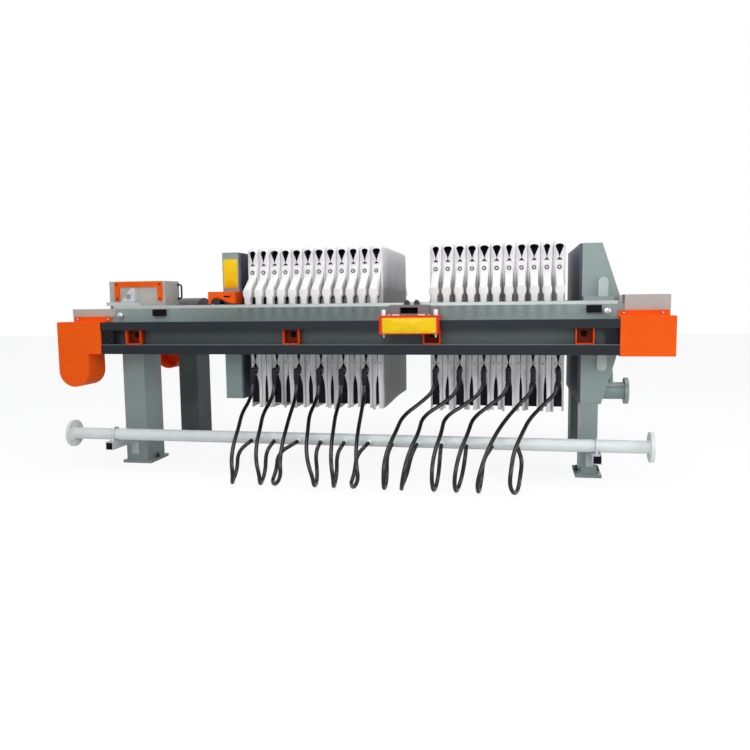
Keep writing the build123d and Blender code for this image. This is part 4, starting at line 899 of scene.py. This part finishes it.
anchors = [(x + s * d, side * LEG_Y, 0.016) for x, d in ((LEFT_LEG_X, 0.072), (RIGHT_LEG_X, 0.051))
           for s in (-1, 1) for side in (-1, 1)]
anchor = merge([bolt_head(0.018, 0.010, 0.0125),
                stack(polygon(14, 0.0058), [(0, 0.0), (1, 0.0), (1, 0.022), (0.8, 0.024), (0, 0.024)])])
make("anchor_bolts", spread(anchor, anchors), "dark_steel", "frame", outward=True)

# The struts that carry the manifold: nuts of their U bolts, end caps and turned-out lips
ubolt_nuts = [(x, y, 0.1617) for x in STRUTS for y in (-0.6353, -0.5647)]
make("clamp_nuts", spread(bolt_head(0.013, 0.007), ubolt_nuts), "galvanised", "frame", outward=True)
strut_caps = [bar((x - 0.0174, -0.6700, 0.1206), (x + 0.0174, -0.6685, 0.1583), 0.0006) for x in STRUTS]
make("strut_caps", merge(strut_caps), "buffer_rubber", "frame", outward=True)
strut_lips = [bar((x - 0.0204, -0.6719, 0.1206), (x + 0.0204, -0.6480, 0.1236), 0.0006) for x in STRUTS]
make("strut_lips", merge(strut_lips), "galvanised", "frame", outward=True)
leg_plates = [bar((-1.257, LEG_PLATE_Y, 0.050), (-1.212, -0.4290, 0.1200)),
              bar((1.152, LEG_PLATE_Y, 0.054), (1.186, -0.4290, 0.1195))]
make("leg_plates", merge(leg_plates), LUG_HIGHLIGHT_AND_PALE_ENAMEL, "frame", outward=True)
leg_screws = [(x, LEG_PLATE_Y, z) for x, z in ((-1.246, 0.064), (-1.223, 0.106), (1.161, 0.067),
                                               (1.177, 0.107))]
heads("leg_plate_screws", bolt_head(0.009, 0.004), leg_screws, "galvanised", twins=False)

# Closed ends of the rails, with the screw that holds the left one, and the screws in the bracket pockets
rail_ends = [bar((-1.3035, -0.5935, 0.6182), (-1.3020, -0.5315, 0.7698), 0.0005),
             bar((1.2740, -0.5935, 0.6182), (1.2755, -0.5315, 0.7698), 0.0005),
             bar((-1.3015, RAIL_FACE_Y, 0.6600), (-1.2340, -0.5925, 0.7350), 0.0005),
             bar((1.2180, RAIL_FACE_Y, 0.6600), (1.2735, -0.5925, 0.7350), 0.0005)]
make("rail_ends", mirrored(merge(rail_ends)), DARK_PLATE_AND_SHADE_SHEET, "frame", outward=True)
heads("rail_end_screws", bolt_head(0.012, 0.005, 0.0095), [(-1.245, RAIL_FACE_Y, 0.682)], "dark_steel")
pocket_screws = [(x, RAIL_WEB_Y, 0.708) for x in (-1.134, -0.282, 0.418, 1.125)]
heads("bracket_screws", bolt_head(0.019, 0.010, 0.0150), pocket_screws, "buffer_rubber")

# Trolleys: bolts that hang from them, caps over their pins and white strips on top
thread = stack(polygon(12, 0.004), [(0, 0), (1, 0), (1, 0.016), (0.8, 0.017), (0, 0.017)])
hanging = facing(merge([bolt_head(0.013, 0.008), thread]), "-z")
pair("trolley_bolts", spread(hanging, [(x, -0.632, 0.7135) for x in TROLLEY_PINS]), "galvanised")
cap = stack(polygon(24, 0.0098), [(0.9, 0.0006), (1, 0.0006), (1, 0.0265), (0.86, 0.0285), (0, 0.0285)])
pair("trolley_caps", spread(cap, [(x, -0.6325, 0.8) for x in TROLLEY_PINS]), "plate_plastic")
top_strips = [bar((x0, y0, TROLLEY_TOP_Z), (x1, y1, 0.8062))
          for x0, x1, y0, y1 in ((0.236, 0.270, -0.626, -0.612), (0.358, 0.394, -0.626, -0.612),
                                 (0.216, 0.223, -0.624, -0.614), (0.408, 0.414, -0.624, -0.614))]
pair("trolley_top_strips", merge(top_strips), "plate_plastic")
pair("carrier_pad", bar((0.2667, -0.5300, 0.8082), (0.3533, -0.5270, 0.8378), 0.0005), "buffer_rubber")

# Screws of the seat's frame, and the bent oil pipe on the seat's end
frame_screws = [(x, SEAT_FRAME_Y, z) for z in (0.973, 0.898) for x in (-1.288, -1.040)]
heads("seat_frame_screws", bolt_head(0.010, 0.004), frame_screws, "dark_steel", twins=False)
quarter = np.linspace(0, np.pi / 2, 7)
OIL_Y, OIL_BEND_X, OIL_BEND_R = -0.290, -1.004, 0.011
oil_line = np.concatenate([
    [(-1.0150, 0.972)],
    np.column_stack([OIL_BEND_X + OIL_BEND_R * np.sin(quarter), 0.961 + OIL_BEND_R * np.cos(quarter)]),
    np.column_stack([OIL_BEND_X + OIL_BEND_R * np.cos(quarter), 0.908 - OIL_BEND_R * np.sin(quarter)]),
    [(-1.0150, 0.897)],
])
oil_line = np.column_stack([oil_line[:, 0], np.full(len(oil_line), OIL_Y), oil_line[:, 1]])
oil_pipe = grid(tube(oil_line, 0.0048, 14, (0.0, 1.0, 0.0)), around=True)
make("oil_pipe", oil_pipe, "fitting_black", "frame", outward=True)
oil_nuts = spread(facing(bolt_head(0.014, 0.006), "+x"), [(-1.0140, OIL_Y, z) for z in (0.972, 0.897)])
make("oil_pipe_nuts", oil_nuts, "fitting_black", "frame", outward=True)


# ---------------------------------------------------------------- camera, lights and floor

CAMERA_PLACE = (0.806, -4.016, 0.872)
camera_data = bpy.data.cameras.new("camera")
camera = bpy.data.objects.new("camera", camera_data)
bpy.context.collection.objects.link(camera)
yaw, pitch, roll = (math.radians(v) for v in (-10.95, -5.88, -0.69))
ahead = np.array([math.sin(yaw) * math.cos(pitch), math.cos(yaw) * math.cos(pitch), math.sin(pitch)])
right = np.array([math.cos(yaw), -math.sin(yaw), 0.0])
up = np.cross(right, ahead)
right_rolled = right * math.cos(roll) + up * math.sin(roll)
up_rolled = -right * math.sin(roll) + up * math.cos(roll)
turn = Matrix(np.column_stack([right_rolled, up_rolled, -ahead]).tolist()).to_4x4()
camera.matrix_world = Matrix.Translation(CAMERA_PLACE) @ turn
camera_data.lens = 34.65
camera_data.sensor_width = 36.0
camera_data.clip_end = 60.0
bpy.context.scene.camera = camera


def lamp(name, place, target, width, height, power):
    """A rectangular softbox at place that looks at target."""
    data = bpy.data.lights.new(name, "AREA")
    data.shape = "RECTANGLE"
    data.size, data.size_y, data.energy = width, height, power
    light = bpy.data.objects.new(name, data)
    bpy.context.collection.objects.link(light)
    away = np.array(place, float) - np.array(target, float)
    away /= np.linalg.norm(away)
    side = np.cross([0.0, 0.0, 1.0], away)
    side /= np.linalg.norm(side)
    light.matrix_world = (Matrix.Translation(place)
                          @ Matrix(np.column_stack([side, np.cross(away, side), away]).tolist()).to_4x4())


lamp("overhead_softbox", (0.3, -0.8, 3.6), (0.0, 0.0, 0.8), 4.5, 2.4, 56.0)
lamp("front_softbox", (0.1, -4.8, 2.5), (0.0, 0.0, 0.7), 3.4, 2.0, 62.0)
lamp("right_softbox", (5.2, -2.6, 1.8), (0.0, 0.0, 0.7), 2.4, 2.0, 84.0)

world = bpy.data.worlds.new("studio")
bpy.context.scene.world = world
world.use_nodes = True
sky = Nodes(world.node_tree)
rays = [sky.add("ShaderNodeLightPath", {}, {}, f"Is {kind} Ray")
        for kind in ("Camera", "Transmission", "Glossy")]
soft = sky.add("ShaderNodeBackground", {}, {"Color": (0.93, 0.96, 1.0, 1.0), "Strength": 0.36})
white = sky.add("ShaderNodeBackground", {}, {"Color": (1.0, 1.0, 1.0, 1.0), "Strength": 1.0})
seen = rays[0].most(rays[1]).most(rays[2])
sky.end("ShaderNodeOutputWorld",
        sky.add("ShaderNodeMixShader", {}, {"Fac": seen, "Shader": soft, "Shader_001": white}))

# The floor shows white to the camera and keeps the shadows
floor_finish = Finish("studio_floor")
ray = floor_finish.add("ShaderNodeLightPath", {}, {}, "Is Camera Ray")
matt = floor_finish.add("ShaderNodeBsdfDiffuse", {}, {"Color": (0.90, 0.90, 0.90, 1.0)})
glow = floor_finish.add("ShaderNodeEmission", {}, {"Color": (1.0, 1.0, 1.0, 1.0), "Strength": 1.06})
both = floor_finish.add("ShaderNodeMixShader", {}, {"Fac": ray * 0.84, "Shader": matt, "Shader_001": glow})
floor_finish.end("ShaderNodeOutputMaterial", both)
FLOOR_HALF, FLOOR_Z = 14.0, -0.001
corners = [(x * FLOOR_HALF, y * FLOOR_HALF, FLOOR_Z) for x, y in ((-1, -1), (1, -1), (1, 1), (-1, 1))]
floor = make("floor", (np.array(corners), np.array([[0, 1, 2, 3]])), floor_finish.material)

bpy.context.scene.view_settings.view_transform = "Standard"
